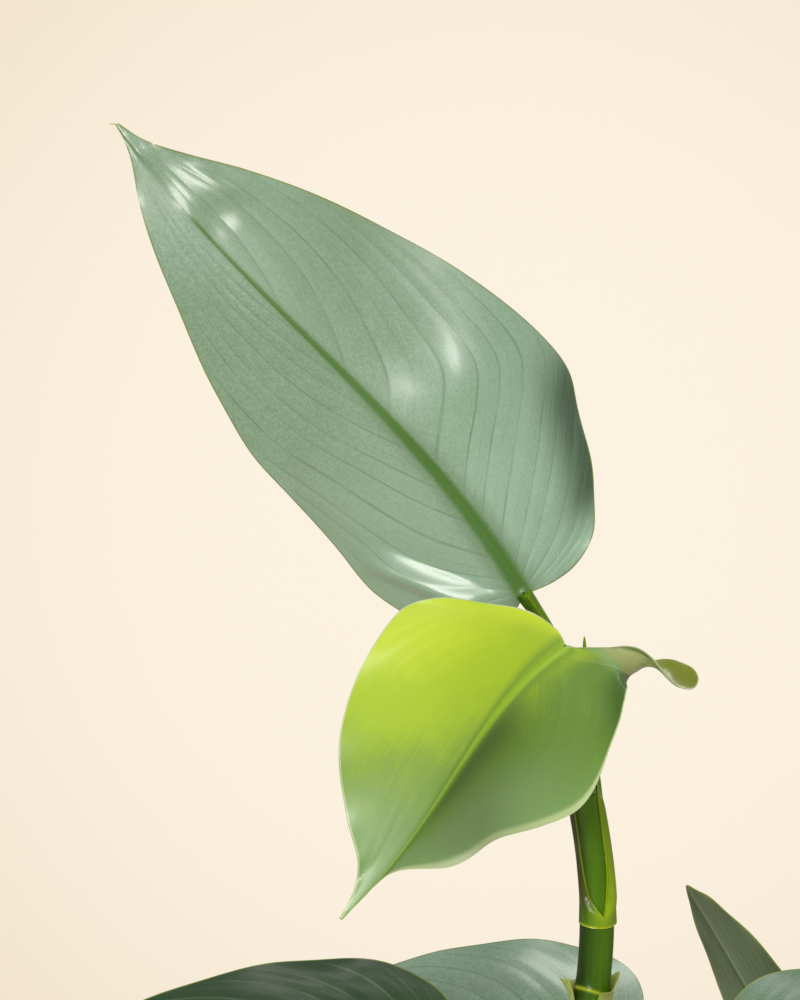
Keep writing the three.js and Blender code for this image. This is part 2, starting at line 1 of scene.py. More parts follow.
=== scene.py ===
"""The looks of a young philodendron hastatum in a plain tapered pot.

Every blade, stalk, stem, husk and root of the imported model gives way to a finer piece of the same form,
laid out by the same formulas, with veins, a midrib channel and scars. The crown leaf gets its open sheath
and the dry thread at its tip. Crumbs, bark and perlite lie on the soil, and the pot is speckled stoneware.
The plant's sizes are in millimetres and its angles in degrees, and MM turns them into metres. The room's
sizes are in metres.
"""
import logging
import math
import random
from collections.abc import Callable
from dataclasses import dataclass, field
from enum import Enum

import bmesh
import bpy
import numpy as np
from mathutils import Matrix, Vector, noise


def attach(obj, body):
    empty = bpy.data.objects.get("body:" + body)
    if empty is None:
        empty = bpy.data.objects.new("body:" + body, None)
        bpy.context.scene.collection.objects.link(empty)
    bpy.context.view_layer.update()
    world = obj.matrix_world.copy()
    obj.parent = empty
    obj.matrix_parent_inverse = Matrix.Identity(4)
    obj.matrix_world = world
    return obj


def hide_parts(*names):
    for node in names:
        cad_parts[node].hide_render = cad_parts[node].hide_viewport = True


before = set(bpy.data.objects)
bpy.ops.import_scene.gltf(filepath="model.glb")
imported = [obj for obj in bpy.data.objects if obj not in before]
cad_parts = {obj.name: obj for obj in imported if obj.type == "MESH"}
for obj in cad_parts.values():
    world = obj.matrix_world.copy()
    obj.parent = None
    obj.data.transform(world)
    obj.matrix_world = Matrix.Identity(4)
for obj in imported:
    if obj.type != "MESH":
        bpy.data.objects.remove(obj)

MM = 0.001
BODY = "root"
Array = np.ndarray
Pair = tuple[float, float]
Triple = tuple[float, float, float]
Curve = Callable[[Array], Array]
Profile = Callable[[Array, Array], Array]
Mesh = bpy.types.Mesh
Material = bpy.types.Material
Piece = bpy.types.Object
Socket = bpy.types.NodeSocket
log = logging.getLogger("plant")


# Curves and turns


def smooth(t: Array) -> Array:
    """An even rise from 0 to 1 as t goes from 0 to 1."""
    t = np.clip(t, 0.0, 1.0)
    return t * t * (3.0 - 2.0 * t)


def staged(stages: Triple, t: Array) -> Array:
    """A value given at the joint, the middle and the tip of a leaf.

    Args:
        stages: the three values.
        t: shares of the blade's length.

    Returns:
        The value at each share.
    """
    joint, middle, tip = stages
    near = joint + (middle - joint) * smooth(2.0 * t)
    far = middle + (tip - middle) * smooth(2.0 * t - 1.0)
    return np.where(t < 0.5, near, far)


def turned(vector: Array, axis: Array, angle: float) -> Array:
    """The vector turned round a unit axis by an angle in radians."""
    across = np.cross(axis, vector)
    along = axis * (axis @ vector) * (1.0 - math.cos(angle))
    return vector * math.cos(angle) + across * math.sin(angle) + along


def flat_direction(degrees: float) -> Array:
    """The level unit vector at a compass angle from +X towards +Y."""
    return np.array([math.cos(math.radians(degrees)), math.sin(math.radians(degrees)), 0.0])


def unit(vectors: Array) -> Array:
    """The vectors, each with length 1."""
    return vectors / np.linalg.norm(vectors, axis=-1, keepdims=True)


def through(points: Array, open_ends: bool = True) -> Curve:
    """A smooth curve through points, evenly spaced in its parameter.

    Args:
        points: the points, one in each row.
        open_ends: whether the end tangents run on past the ends, or flatten there.

    Returns:
        A function from parameters between 0 and 1 to places.
    """
    points = np.asarray(points, float)
    first = 2 * points[0] - points[1] if open_ends else points[0]
    last = 2 * points[-1] - points[-2] if open_ends else points[-1]
    ends = np.vstack([first, points, last])

    def curve(t: Array) -> Array:
        """Places at the parameters t."""
        reach = np.clip(np.asarray(t, float), 0.0, 1.0) * (len(points) - 1)
        span = np.minimum(reach.astype(int), len(points) - 2)
        w = (reach - span)[..., None]
        p0, p1, p2, p3 = (ends[span + k] for k in range(4))
        bend = (2 * p0 - 5 * p1 + 4 * p2 - p3) * w + (3 * p1 - p0 - 3 * p2 + p3) * w * w
        return p1 + 0.5 * w * (p2 - p0 + bend)

    return curve


def bezier(p0: Array, p1: Array, p2: Array, p3: Array) -> Curve:
    """A cubic curve from p0 to p3 that leaves towards p1 and arrives from p2."""

    def curve(t: Array) -> Array:
        """Places at the parameters t."""
        t = np.asarray(t, float)[..., None]
        s = 1.0 - t
        return p0 * s**3 + 3 * p1 * s * s * t + 3 * p2 * s * t * t + p3 * t**3

    return curve


def tangents(curve: Curve, t: Array) -> Array:
    """Unit directions of a curve at the parameters t."""
    step = 1e-3
    return unit(curve(np.clip(t + step, 0, 1)) - curve(np.clip(t - step, 0, 1)))


def share_at_height(curve: Curve, height: float) -> float:
    """The parameter at which a rising curve passes a height."""
    t = np.linspace(0.0, 1.0, 2001)
    return float(np.interp(height, curve(t)[:, 2], t))


def length_of(curve: Curve) -> float:
    """The length of a curve."""
    steps = np.diff(curve(np.linspace(0, 1, 100)), axis=0)
    return float(np.linalg.norm(steps, axis=1).sum())


def facing(radians: Array, degrees: float) -> Array:
    """How squarely directions in radians face a compass angle in degrees, from -1 to 1."""
    return np.cos(radians - math.radians(degrees))


# Meshes


def placed(name: str, data: bpy.types.ID) -> Piece:
    """A new object in the scene, at the origin."""
    item = bpy.data.objects.new(name, data)
    bpy.context.scene.collection.objects.link(item)
    return item


def made_object(name: str, mesh: Mesh, material: Material,
                replaced: tuple[str, ...] = ()) -> Piece:
    """Puts a finished mesh in the scene as a piece that rides with the plant.

    Args:
        name: the piece's name.
        mesh: its mesh, in place and in metres.
        material: its material.
        replaced: the model's nodes that it stands for.

    Returns:
        The piece.
    """
    piece = placed(name, mesh)
    mesh.materials.append(material)
    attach(piece, BODY)
    if replaced:
        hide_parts(*replaced)
    log.info("%s: %d faces", name, len(mesh.polygons))
    return piece


def finished_mesh(name: str, bm: bmesh.types.BMesh, shade_smooth: bool = True) -> Mesh:
    """Turns a bmesh into a mesh and frees it."""
    for face in bm.faces:
        face.smooth = shade_smooth
    mesh = bpy.data.meshes.new(name)
    bm.to_mesh(mesh)
    bm.free()
    return mesh


def set_places(mesh: Mesh, places: Array) -> None:
    """Moves the vertices of a mesh to places in millimetres."""
    mesh.vertices.foreach_set("co", (places * MM).astype(np.float32).ravel())
    mesh.update()


def set_attribute(mesh: Mesh, name: str, *values: Array) -> None:
    """Stores three values on each vertex for the materials to read."""
    layer = mesh.attributes.new(name, "FLOAT_VECTOR", "POINT")
    layer.data.foreach_set("vector", np.stack(values, -1).astype(np.float32).ravel())


def vertex_places(mesh: Mesh) -> Array:
    """The vertices of a mesh as rows."""
    places = np.empty(len(mesh.vertices) * 3, np.float32)
    mesh.vertices.foreach_get("co", places)
    return places.reshape(-1, 3).astype(float)


def slab(name: str, columns: int, rows: int) -> tuple[Mesh, Array, Array, Array]:
    """A closed flat slab of quads, ready to be laid out as a leaf or a husk.

    Args:
        name: the mesh's name.
        columns: faces across.
        rows: faces along.

    Returns:
        The mesh, and for each vertex its column, its row and whether it is on the underside.
    """
    bm = bmesh.new()
    bmesh.ops.create_grid(bm, x_segments=columns, y_segments=rows, size=1.0)
    shell = bmesh.ops.extrude_face_region(bm, geom=bm.faces[:], use_keep_orig=True)
    under = [part for part in shell["geom"] if isinstance(part, bmesh.types.BMVert)]
    bmesh.ops.translate(bm, verts=under, vec=(0, 0, 1))
    bmesh.ops.recalc_face_normals(bm, faces=bm.faces[:])
    for edge in bm.edges:
        heights = {round(vert.co.z) for vert in edge.verts}
        walls = [face for face in edge.link_faces if len({round(v.co.z) for v in face.verts}) == 2]
        edge.smooth = not (len(heights) == 1 and walls)
    mesh = finished_mesh(name, bm)
    places = vertex_places(mesh)
    column = np.rint((places[:, 0] + 1) / 2 * columns).astype(int)
    row = np.rint((places[:, 1] + 1) / 2 * rows).astype(int)
    return mesh, column, row, places[:, 2] > 0.5


def spun(profile: list[Pair], sides: int) -> bmesh.types.BMesh:
    """A closed solid of revolution.

    Args:
        profile: half of its section in millimetres, from axis to axis.
        sides: faces round it.

    Returns:
        The solid, in metres.
    """
    bm = bmesh.new()
    verts = [bm.verts.new((x * MM, 0, z * MM)) for x, z in profile]
    edges = [bm.edges.new(pair) for pair in zip(verts, verts[1:])]
    bmesh.ops.spin(bm, geom=verts + edges, cent=(0, 0, 0), axis=(0, 0, 1), angle=2 * math.pi, steps=sides,
                   use_merge=True)
    bmesh.ops.remove_doubles(bm, verts=bm.verts[:], dist=1e-6)
    bmesh.ops.recalc_face_normals(bm, faces=bm.faces[:])
    return bm


def bent_tube(name: str, curve: Curve, radius_at: Callable[[Array], Array], up: Array, sides: int,
              steps: int, profile: Profile | None = None,
              spacing: float = 1.0) -> tuple[Mesh, Array, Array]:
    """A closed tube along a curve.

    Args:
        name: the mesh's name.
        curve: its centre line.
        radius_at: its radius at shares of the curve.
        up: the direction that angle 0 of each section faces.
        sides: faces round it.
        steps: faces along it.
        profile: scales the radius at an angle and a share.
        spacing: above 1, the sections lie closer near the start.

    Returns:
        The mesh, and each vertex's share of the curve and angle.
    """
    bm = bmesh.new()
    bmesh.ops.create_cone(bm, cap_ends=True, segments=sides, radius1=1, radius2=1, depth=1)
    long_edges = [edge for edge in bm.edges if abs(edge.verts[0].co.z - edge.verts[1].co.z) > 0.5]
    for edge in bm.edges:
        edge.smooth = edge in long_edges
    bmesh.ops.subdivide_edges(bm, edges=long_edges, cuts=steps - 1, use_grid_fill=True)
    bmesh.ops.recalc_face_normals(bm, faces=bm.faces[:])
    mesh = finished_mesh(name, bm)
    places = vertex_places(mesh)
    share = np.clip(places[:, 2] + 0.5, 0, 1) ** spacing
    angle = np.arctan2(places[:, 0], places[:, 1])
    along = tangents(curve, share)
    side = unit(np.cross(along, up))
    top = np.cross(side, along)
    radius = radius_at(share) * (profile(angle, share) if profile else 1.0)
    out = top * np.cos(angle)[:, None] - side * np.sin(angle)[:, None]
    set_places(mesh, curve(share) + out * radius[:, None])
    return mesh, share, angle


# Shading


class NodeTree:
    """A node tree, with short calls for the nodes that the finishes and the room share."""

    def __init__(self, tree: bpy.types.NodeTree, coordinates: str) -> None:
        """Takes a tree, and the texture coordinates that its patterns use."""
        self.tree = tree
        self.place = self.node("ShaderNodeTexCoord").outputs[coordinates]

    def node(self, kind: str, **settings: object) -> bpy.types.Node:
        """Adds a node with the given settings."""
        made = self.tree.nodes.new(kind)
        for name, value in settings.items():
            setattr(made, name, value)
        return made

    def put(self, value: object, socket: Socket) -> None:
        """Links a socket into another, or sets a plain value on it."""
        if isinstance(value, Socket):
            self.tree.links.new(value, socket)
        elif isinstance(value, tuple) and socket.type == "RGBA":
            socket.default_value = (*value, 1.0)
        else:
            socket.default_value = value

    def split(self, vector: Socket) -> list[Socket]:
        """The three parts of a vector."""
        parts = self.node("ShaderNodeSeparateXYZ")
        self.put(vector, parts.inputs[0])
        return list(parts.outputs)

    def attribute(self, name: str) -> list[Socket]:
        """The three values that the mesh stores under a name."""
        return self.split(self.node("ShaderNodeAttribute", attribute_name=name).outputs["Vector"])

    def vector(self, x: object, y: object, z: object = 0.0) -> Socket:
        """A vector of three values."""
        parts = self.node("ShaderNodeCombineXYZ")
        for value, socket in zip((x, y, z), parts.inputs):
            self.put(value, socket)
        return parts.outputs[0]

    def maths(self, operation: str, *values: object) -> Socket:
        """One step of arithmetic."""
        step = self.node("ShaderNodeMath", operation=operation)
        for value, socket in zip(values, step.inputs):
            self.put(value, socket)
        return step.outputs[0]

    def times(self, first: object, second: object) -> Socket:
        """A product."""
        return self.maths("MULTIPLY", first, second)

    def plus(self, first: object, second: object) -> Socket:
        """A sum."""
        return self.maths("ADD", first, second)

    def swing(self, value: object, reach: object) -> Socket:
        """How far a value between 0 and 1 lies from its middle, times a reach."""
        return self.times(self.maths("SUBTRACT", value, 0.5), reach)

    def rise(self, value: object, start: float, end: float, low: float = 0.0, high: float = 1.0) -> Socket:
        """A smooth change from low to high as value goes from start to end."""
        step = self.node("ShaderNodeMapRange", interpolation_type="SMOOTHSTEP")
        for item, socket in zip((value, start, end, low, high), step.inputs):
            self.put(item, socket)
        return step.outputs[0]

    def mix(self, factor: object, first: object, second: object) -> Socket:
        """Two colours mixed by a factor."""
        step = self.node("ShaderNodeMix", data_type="RGBA", blend_type="MIX")
        for item, socket in ((factor, step.inputs[0]), (first, step.inputs[6]), (second, step.inputs[7])):
            self.put(item, socket)
        return step.outputs[2]

    def scaled(self, vector: Socket, scale: Triple) -> Socket:
        """A vector stretched along its axes."""
        step = self.node("ShaderNodeMapping", vector_type="POINT")
        self.put(vector, step.inputs["Vector"])
        self.put(scale, step.inputs["Scale"])
        return step.outputs[0]

    def noise(self, vector: Socket, scale: float, detail: float = 3.0, roughness: float = 0.55) -> Socket:
        """Cloudy noise between 0 and 1."""
        step = self.node("ShaderNodeTexNoise")
        self.put(vector, step.inputs["Vector"])
        for name, value in (("Scale", scale), ("Detail", detail), ("Roughness", roughness)):
            self.put(value, step.inputs[name])
        return step.outputs[0]

    def cells(self, vector: Socket, scale: float) -> bpy.types.Node:
        """A Voronoi pattern of grains."""
        step = self.node("ShaderNodeTexVoronoi")
        self.put(vector, step.inputs["Vector"])
        self.put(scale, step.inputs["Scale"])
        return step


class Shading(NodeTree):
    """A material with a principled surface and Object coordinates."""

    def __init__(self, name: str) -> None:
        """Starts the material."""
        self.material = bpy.data.materials.new(name)
        self.material.use_nodes = True
        super().__init__(self.material.node_tree, "Object")
        self.surface = self.tree.nodes["Principled BSDF"]

    def bump(self, *layers: tuple[Socket, float]) -> Socket:
        """A normal with one or more heights laid over it, each with its depth in millimetres."""
        normal = None
        for height, depth in layers:
            step = self.node("ShaderNodeBump")
            self.put(height, step.inputs["Height"])
            self.put(depth * MM, step.inputs["Distance"])
            if normal:
                self.put(normal, step.inputs["Normal"])
            normal = step.outputs[0]
        return normal

    def finish(self, **sockets: object) -> Material:
        """Sets the surface's sockets, named with underscores, and gives the material."""
        for name, value in sockets.items():
            self.put(value, self.surface.inputs[name.replace("_", " ")])
        return self.material


def scaled_colour(colour: Triple, factor: float) -> Triple:
    """A colour made brighter or darker by a factor."""
    return tuple(factor * part for part in colour)


@dataclass(frozen=True)
class BladeFinish:
    """An adult leaf blade: silver grains over green, fine dark veins, a green midrib and an olive margin.

    The midrib's green fades to the third number of rib_end between the first two, which are shares of the
    blade's length. The fields that end in light say how much brighter some places are than silver or under.
    """

    name: str
    silver: Triple = (0.222, 0.335, 0.246)
    green: Triple = (0.13, 0.225, 0.115)
    deep: Triple = (0.024, 0.062, 0.019)
    vein: Triple = (0.085, 0.155, 0.075)
    vein_strength: float = 0.62
    midrib: Triple = (0.040, 0.135, 0.002)
    margin: Triple = (0.15, 0.21, 0.02)
    rib_end: Triple = (0.76, 0.9, 0.0)
    under: Triple = (0.085, 0.115, 0.062)
    under_vein: Triple = (0.15, 0.19, 0.10)
    cloud_scale: float = 34.0
    mottle_scale: float = 620.0
    grain_scale: float = 2400.0
    grain_light: float = 1.5
    frost_light: float = 1.45
    back_light: float = 1.3
    roughness: float = 0.40
    specular: float = 0.5
    coat: float = 0.68
    coat_roughness: float = 0.21

    def skin(self, s: Shading, streaks: Socket, grains: Socket) -> Socket:
        """The colour of the upper face between its veins, from the attribute tint: frost, fresh, shade."""
        frost, fresh, shade = s.attribute("tint")
        clouds = s.noise(s.place, self.cloud_scale, 3.0)
        mottle = s.noise(s.place, self.mottle_scale, 2.0, 0.7)
        cover = s.plus(s.times(clouds, 0.9), s.times(streaks, 0.5))
        skin = s.mix(s.rise(cover, 0.42, 0.92, 0.35, 1.0), self.green, self.silver)
        lit_grain = scaled_colour(self.silver, self.grain_light)
        skin = s.mix(s.rise(grains, 0.45, 0.68, 0.0, 0.42), skin, lit_grain)
        skin = s.mix(s.rise(grains, 0.32, 0.52, 0.5, 0.0), skin, self.green)
        skin = s.mix(s.rise(mottle, 0.36, 0.56, 0.32, 0.0), skin, self.green)
        skin = s.mix(frost, skin, scaled_colour(self.silver, self.frost_light))
        skin = s.mix(fresh, skin, self.green)
        lean = s.plus(shade, s.swing(streaks, s.times(shade, 0.7)))
        return s.mix(s.rise(lean, 0.0, 1.0), skin, self.deep)

    def vein_lines(self, s: Shading, phase: Socket, rim: Socket) -> Socket:
        """How clearly a side vein shows: in full at a whole phase, and fainter halfway between."""
        whole = s.rise(s.maths("PINGPONG", phase, 0.5), 0.0, 0.065, 1.0, 0.0)
        halfway = s.rise(s.maths("PINGPONG", s.times(phase, 2.0), 0.5), 0.0, 0.07, 0.35, 0.0)
        lines = s.times(s.maths("MAXIMUM", whole, halfway), s.rise(rim, 0.4, 5.0))
        faint = s.noise(s.place, 45.0, 1.0)
        return s.times(lines, s.rise(faint, 0.3, 0.65, 0.3 * self.vein_strength, self.vein_strength))

    def back(self, s: Shading, streaks: Socket, line: Socket, rib: Socket) -> Socket:
        """The colour of the underside, with pale veins and a pale rib."""
        back = s.mix(s.rise(streaks, 0.3, 0.7), self.under, scaled_colour(self.under, self.back_light))
        back = s.mix(s.times(line, 0.7), back, self.under_vein)
        return s.mix(s.rise(rib, 0.7, 1.4, 0.85, 0.0), back, self.under_vein)

    def material(self) -> Material:
        """The blade's material, which reads the attributes leaf, veins and tint."""
        s = Shading(self.name)
        share, rib, rim = s.attribute("leaf")
        phase, out, under = s.attribute("veins")
        streaks = s.noise(s.vector(s.times(phase, 8.0), s.times(out, 1.6), share), 3.0, 2.0)
        grains = s.noise(s.place, self.grain_scale, 2.0, 0.6)
        line = self.vein_lines(s, phase, rim)
        skin = s.mix(line, self.skin(s, streaks, grains), self.vein)
        skin = s.mix(s.rise(rib, 0.9, 3.2, 0.7, 0.0), skin, self.green)
        jagged = s.plus(rib, s.swing(grains, 0.9))
        fade = s.rise(share, self.rib_end[0], self.rib_end[1], 1.0, self.rib_end[2])
        skin = s.mix(s.times(s.rise(jagged, 0.5, 1.4, 1.0, 0.0), fade), skin, self.midrib)
        both = s.mix(s.rise(under, 0.3, 0.7), skin, self.back(s, streaks, line, rib))
        return s.finish(Base_Color=s.mix(s.rise(rim, 0.30, 0.62, 0.9, 0.0), both, self.margin),
                        Roughness=s.rise(grains, 0.3, 0.7, self.roughness - 0.06, self.roughness + 0.07),
                        Normal=s.bump((streaks, 0.03), (grains, 0.022)),
                        Specular_IOR_Level=self.specular, Coat_Weight=self.coat,
                        Coat_Roughness=self.coat_roughness, Subsurface_Weight=0.04,
                        Subsurface_Radius=(0.4, 0.7, 0.15), Subsurface_Scale=0.002)


@dataclass(frozen=True)
class YoungFinish(BladeFinish):
    """The new leaf: smooth, lime where light comes through it, blue-green where silver begins to show."""

    lime: Triple = (0.32, 0.465, 0.006)
    bright: Triple = (0.45, 0.58, 0.010)
    cool: Triple = (0.19, 0.33, 0.115)
    dusty: Triple = (0.34, 0.36, 0.13)
    cloud_scale: float = 55.0

    def skin(self, s: Shading, streaks: Socket, grains: Socket) -> Socket:
        """The colour of the upper face, from the attribute tint: lime, cool and shade."""
        lime, cool, shade = s.attribute("tint")
        clouds = s.noise(s.place, self.cloud_scale, 2.0)
        lime = s.plus(s.plus(lime, s.swing(clouds, 0.35)), s.swing(streaks, 0.3))
        skin = s.mix(cool, self.green, self.cool)
        skin = s.mix(s.rise(cool, 1.1, 2.0, 0.0, 0.85), skin, self.dusty)
        skin = s.mix(s.rise(grains, 0.4, 0.7, 0.0, 0.12), skin, self.silver)
        skin = s.mix(s.rise(lime, 0.0, 0.6), skin, self.lime)
        skin = s.mix(s.rise(lime, 0.55, 1.1), skin, self.bright)
        return s.mix(shade, skin, self.deep)


@dataclass(frozen=True)
class StemFinish:
    """Glossy green skin with long streaks, purple-brown where the sheath is thin, and pale scars."""

    name: str
    # Bright and dark are the lit and the shaded green, between which the light channel paints light and
    # shade.
    bright: Triple = (0.072, 0.175, 0.001)
    dark: Triple = (0.006, 0.030, 0.001)
    blush: Triple = (0.055, 0.040, 0.012)
    # On the crown sheath this pale colour also paints a glow and a sunlit patch, as painted light.
    scar: Triple = (0.42, 0.50, 0.02)
    speck: Triple = (0.20, 0.30, 0.05)

    def material(self) -> Material:
        """The material, reading the attribute bark: scar, blush and painted light, from dark to bright."""
        s = Shading(self.name)
        scar, blush, light = s.attribute("bark")
        streaks = s.noise(s.scaled(s.place, (1.0, 1.0, 0.045)), 520.0, 3.0)
        clouds = s.noise(s.scaled(s.place, (1.0, 1.0, 0.4)), 90.0, 2.0)
        specks = s.cells(s.place, 420.0).outputs["Distance"]
        tone = s.plus(s.plus(s.swing(streaks, 0.5), light), s.swing(clouds, 0.4))
        skin = s.mix(s.rise(tone, 0.0, 1.0), self.dark, self.bright)
        skin = s.mix(s.times(blush, s.rise(clouds, 0.25, 0.6, 0.6, 1.0)), skin, self.blush)
        skin = s.mix(s.rise(specks, 0.05, 0.10, 0.22, 0.0), skin, self.speck)
        skin = s.mix(scar, skin, self.scar)
        return s.finish(Base_Color=skin, Roughness=s.rise(streaks, 0.3, 0.7, 0.26, 0.38),
                        Normal=s.bump((streaks, 0.06), (specks, 0.015)), Specular_IOR_Level=0.2,
                        Coat_Weight=0.2, Coat_Roughness=0.14, Subsurface_Weight=0.05,
                        Subsurface_Radius=(0.3, 0.6, 0.1), Subsurface_Scale=0.002)


@dataclass(frozen=True)
class HuskFinish:
    """Thin, half-dry bud sheath: pale green and papery, brown at its torn edge."""

    name: str
    fresh: Triple = (0.27, 0.36, 0.05)
    pale: Triple = (0.46, 0.54, 0.17)
    dry: Triple = (0.17, 0.10, 0.035)

    def material(self) -> Material:
        """The husk's material, which reads the attribute husk: height share, edge distance and angle."""
        s = Shading(self.name)
        height, edge, turn = s.attribute("husk")
        fibres = s.noise(s.vector(s.times(turn, 26.0), s.times(height, 1.3)), 3.0)
        blots = s.noise(s.place, 260.0, 2.0)
        skin = s.mix(s.rise(fibres, 0.35, 0.65), self.fresh, self.pale)
        skin = s.mix(s.rise(blots, 0.6, 0.8, 0.0, 0.3), skin, self.dry)
        skin = s.mix(s.rise(edge, 0.0, 0.9, 0.75, 0.0), skin, self.pale)
        skin = s.mix(s.rise(edge, 0.0, 0.3, 0.3, 0.0), skin, self.dry)
        return s.finish(Base_Color=skin, Roughness=s.rise(fibres, 0.3, 0.7, 0.42, 0.6),
                        Normal=s.bump((fibres, 0.12)), Subsurface_Weight=0.25,
                        Subsurface_Radius=(0.6, 0.8, 0.2), Subsurface_Scale=0.002)


@dataclass(frozen=True)
class GroundFinish:
    """Matte crumbs, bark, perlite or root skin: two colours in blots, with a rough grain.

    The blots and the grain are given by the scale of their noise, and depth is the relief in millimetres.
    """

    name: str
    light: Triple
    dark: Triple
    blots: float
    grain: float
    depth: float
    roughness: float

    def material(self) -> Material:
        """The material, on Object coordinates."""
        s = Shading(self.name)
        blots = s.noise(s.place, self.blots, 4.0, 0.65)
        grain = s.noise(s.place, self.grain, 3.0, 0.7)
        skin = s.mix(s.rise(blots, 0.36, 0.64), self.dark, self.light)
        skin = s.mix(s.rise(grain, 0.35, 0.7, 0.0, 0.5), skin, self.dark)
        rough = s.rise(grain, 0.3, 0.7, self.roughness - 0.1, min(1.0, self.roughness + 0.06))
        return s.finish(Base_Color=skin, Roughness=rough,
                        Normal=s.bump((blots, self.depth), (grain, self.depth / 2)))


@dataclass(frozen=True)
class PotFinish:
    """Matte oatmeal stoneware with iron specks and faint throwing lines."""

    name: str
    clay: Triple = (0.62, 0.55, 0.45)
    pale: Triple = (0.72, 0.66, 0.56)
    speck: Triple = (0.16, 0.10, 0.06)

    def material(self) -> Material:
        """The pot's material, on Object coordinates."""
        s = Shading(self.name)
        clouds = s.noise(s.scaled(s.place, (1.0, 1.0, 2.2)), 22.0, 4.0)
        rings = s.noise(s.scaled(s.place, (0.05, 0.05, 1.0)), 330.0, 2.0)
        grain = s.noise(s.place, 1400.0, 2.0)
        specks = s.cells(s.place, 190.0)
        few = s.rise(s.split(specks.outputs["Color"])[0], 0.62, 0.66)
        dots = s.times(few, s.rise(specks.outputs["Distance"], 0.10, 0.17, 1.0, 0.0))
        skin = s.mix(s.rise(clouds, 0.35, 0.65), self.clay, self.pale)
        skin = s.mix(s.rise(grain, 0.4, 0.7, 0.0, 0.18), skin, self.clay)
        skin = s.mix(s.times(dots, 0.85), skin, self.speck)
        return s.finish(Base_Color=skin, Roughness=s.rise(grain, 0.3, 0.7, 0.5, 0.66),
                        Normal=s.bump((rings, 0.18), (grain, 0.05)), Specular_IOR_Level=0.4)


BLADE_SKIN = BladeFinish("silver_blade")
DUSKY_SKIN = BladeFinish("dusky_blade", deep=(0.020, 0.052, 0.016), roughness=0.46, specular=0.3, coat=0.22)
YOUNG_SKIN = YoungFinish("lime_blade", silver=(0.27, 0.40, 0.24), green=(0.113, 0.23, 0.02),
                         deep=(0.045, 0.112, 0.005), vein=(0.15, 0.28, 0.04), midrib=(0.25, 0.42, 0.01),
                         vein_strength=0.08, rib_end=(0.25, 0.75, 0.3), margin=(0.42, 0.52, 0.25),
                         under=(0.16, 0.20, 0.012), under_vein=(0.20, 0.25, 0.03), roughness=0.38, coat=0.3)
STEM_SKIN = StemFinish("stem_skin")
STALK_SKIN = StemFinish("stalk_skin", bright=(0.125, 0.26, 0.002), dark=(0.022, 0.075, 0.001))
HUSK_SKIN = HuskFinish("bud_husk")
ROOT_SKIN = GroundFinish("root_skin", light=(0.30, 0.22, 0.11), dark=(0.12, 0.075, 0.035),
                         blots=400.0, grain=1800.0, depth=0.2, roughness=0.8)
SOIL_SKIN = GroundFinish("potting_soil", light=(0.050, 0.029, 0.016), dark=(0.012, 0.007, 0.005),
                         blots=300.0, grain=1300.0, depth=0.6, roughness=0.95)
BARK_SKIN = GroundFinish("bark_chips", light=(0.17, 0.085, 0.04), dark=(0.05, 0.025, 0.014),
                         blots=350.0, grain=1500.0, depth=0.4, roughness=0.88)
PERLITE_SKIN = GroundFinish("perlite", light=(0.78, 0.76, 0.70), dark=(0.55, 0.52, 0.46),
                            blots=500.0, grain=1700.0, depth=0.3, roughness=0.9)
POT_SKIN = PotFinish("stoneware")


# Leaves


class Outline(Enum):
    """Half outlines of a flat blade, from the sinus round the lobe to the tip.

    Each point is (along the midrib, out from it), as shares of the blade's length.
    """

    GROWN = ((-0.012, 0.004), (-0.065, 0.05), (-0.105, 0.115), (-0.085, 0.195), (-0.01, 0.258),
             (0.09, 0.29), (0.2, 0.296), (0.32, 0.28), (0.44, 0.25), (0.56, 0.21), (0.68, 0.162),
             (0.79, 0.11), (0.88, 0.062), (0.945, 0.025), (1, 0.004))
    BLUNT = ((-0.012, 0.004), (-0.05, 0.06), (-0.07, 0.12), (-0.03, 0.19), (0.06, 0.23), (0.2, 0.25),
             (0.4, 0.24), (0.58, 0.205), (0.73, 0.16), (0.85, 0.11), (0.93, 0.066), (0.98, 0.024),
             (1, 0.004))
    CROWN_LEFT = ((-0.008, 0.006), (-0.02, 0.05), (0, 0.12), (0.06, 0.19), (0.14, 0.222), (0.24, 0.216),
                  (0.36, 0.208), (0.47, 0.206), (0.58, 0.176), (0.7, 0.132), (0.8, 0.094), (0.88, 0.058),
                  (0.94, 0.022), (0.975, 0.008), (1, 0.003))
    CROWN_RIGHT = ((-0.008, 0.006), (-0.022, 0.05), (-0.025, 0.1), (-0.005, 0.162), (0.045, 0.216),
                   (0.1, 0.26), (0.165, 0.3), (0.225, 0.326), (0.3, 0.32), (0.48, 0.268), (0.6, 0.22),
                   (0.71, 0.167), (0.81, 0.11), (0.89, 0.054), (0.95, 0.018), (1, 0.003))
    YOUNG_LEFT = ((-0.012, 0.004), (-0.045, 0.04), (-0.1, 0.08), (-0.156, 0.126), (-0.205, 0.183),
                  (-0.257, 0.239), (-0.282, 0.287), (-0.272, 0.317), (-0.24, 0.318), (-0.201, 0.287),
                  (-0.158, 0.234), (-0.11, 0.196), (-0.05, 0.183), (0, 0.198), (0.065, 0.225),
                  (0.205, 0.27), (0.33, 0.254), (0.46, 0.21), (0.585, 0.16), (0.695, 0.1), (0.81, 0.03),
                  (0.9, 0.009), (1, 0.003))
    YOUNG_RIGHT = ((-0.012, 0.004), (-0.035, 0.04), (-0.012, 0.13), (0.055, 0.228), (0.13, 0.308),
                   (0.2, 0.34), (0.328, 0.34), (0.448, 0.32), (0.602, 0.27), (0.716, 0.205), (0.8, 0.125),
                   (0.863, 0.055), (0.92, 0.02), (1, 0.003))


@dataclass(frozen=True)
class Side:
    """One side of a blade: its outline, its slope at the midrib and its further turn out to the margin."""

    outline: Outline = Outline.GROWN
    width: float = 1.0
    fold: Triple = (10, 6, 2)
    curl: Triple = (-46, -40, -20)


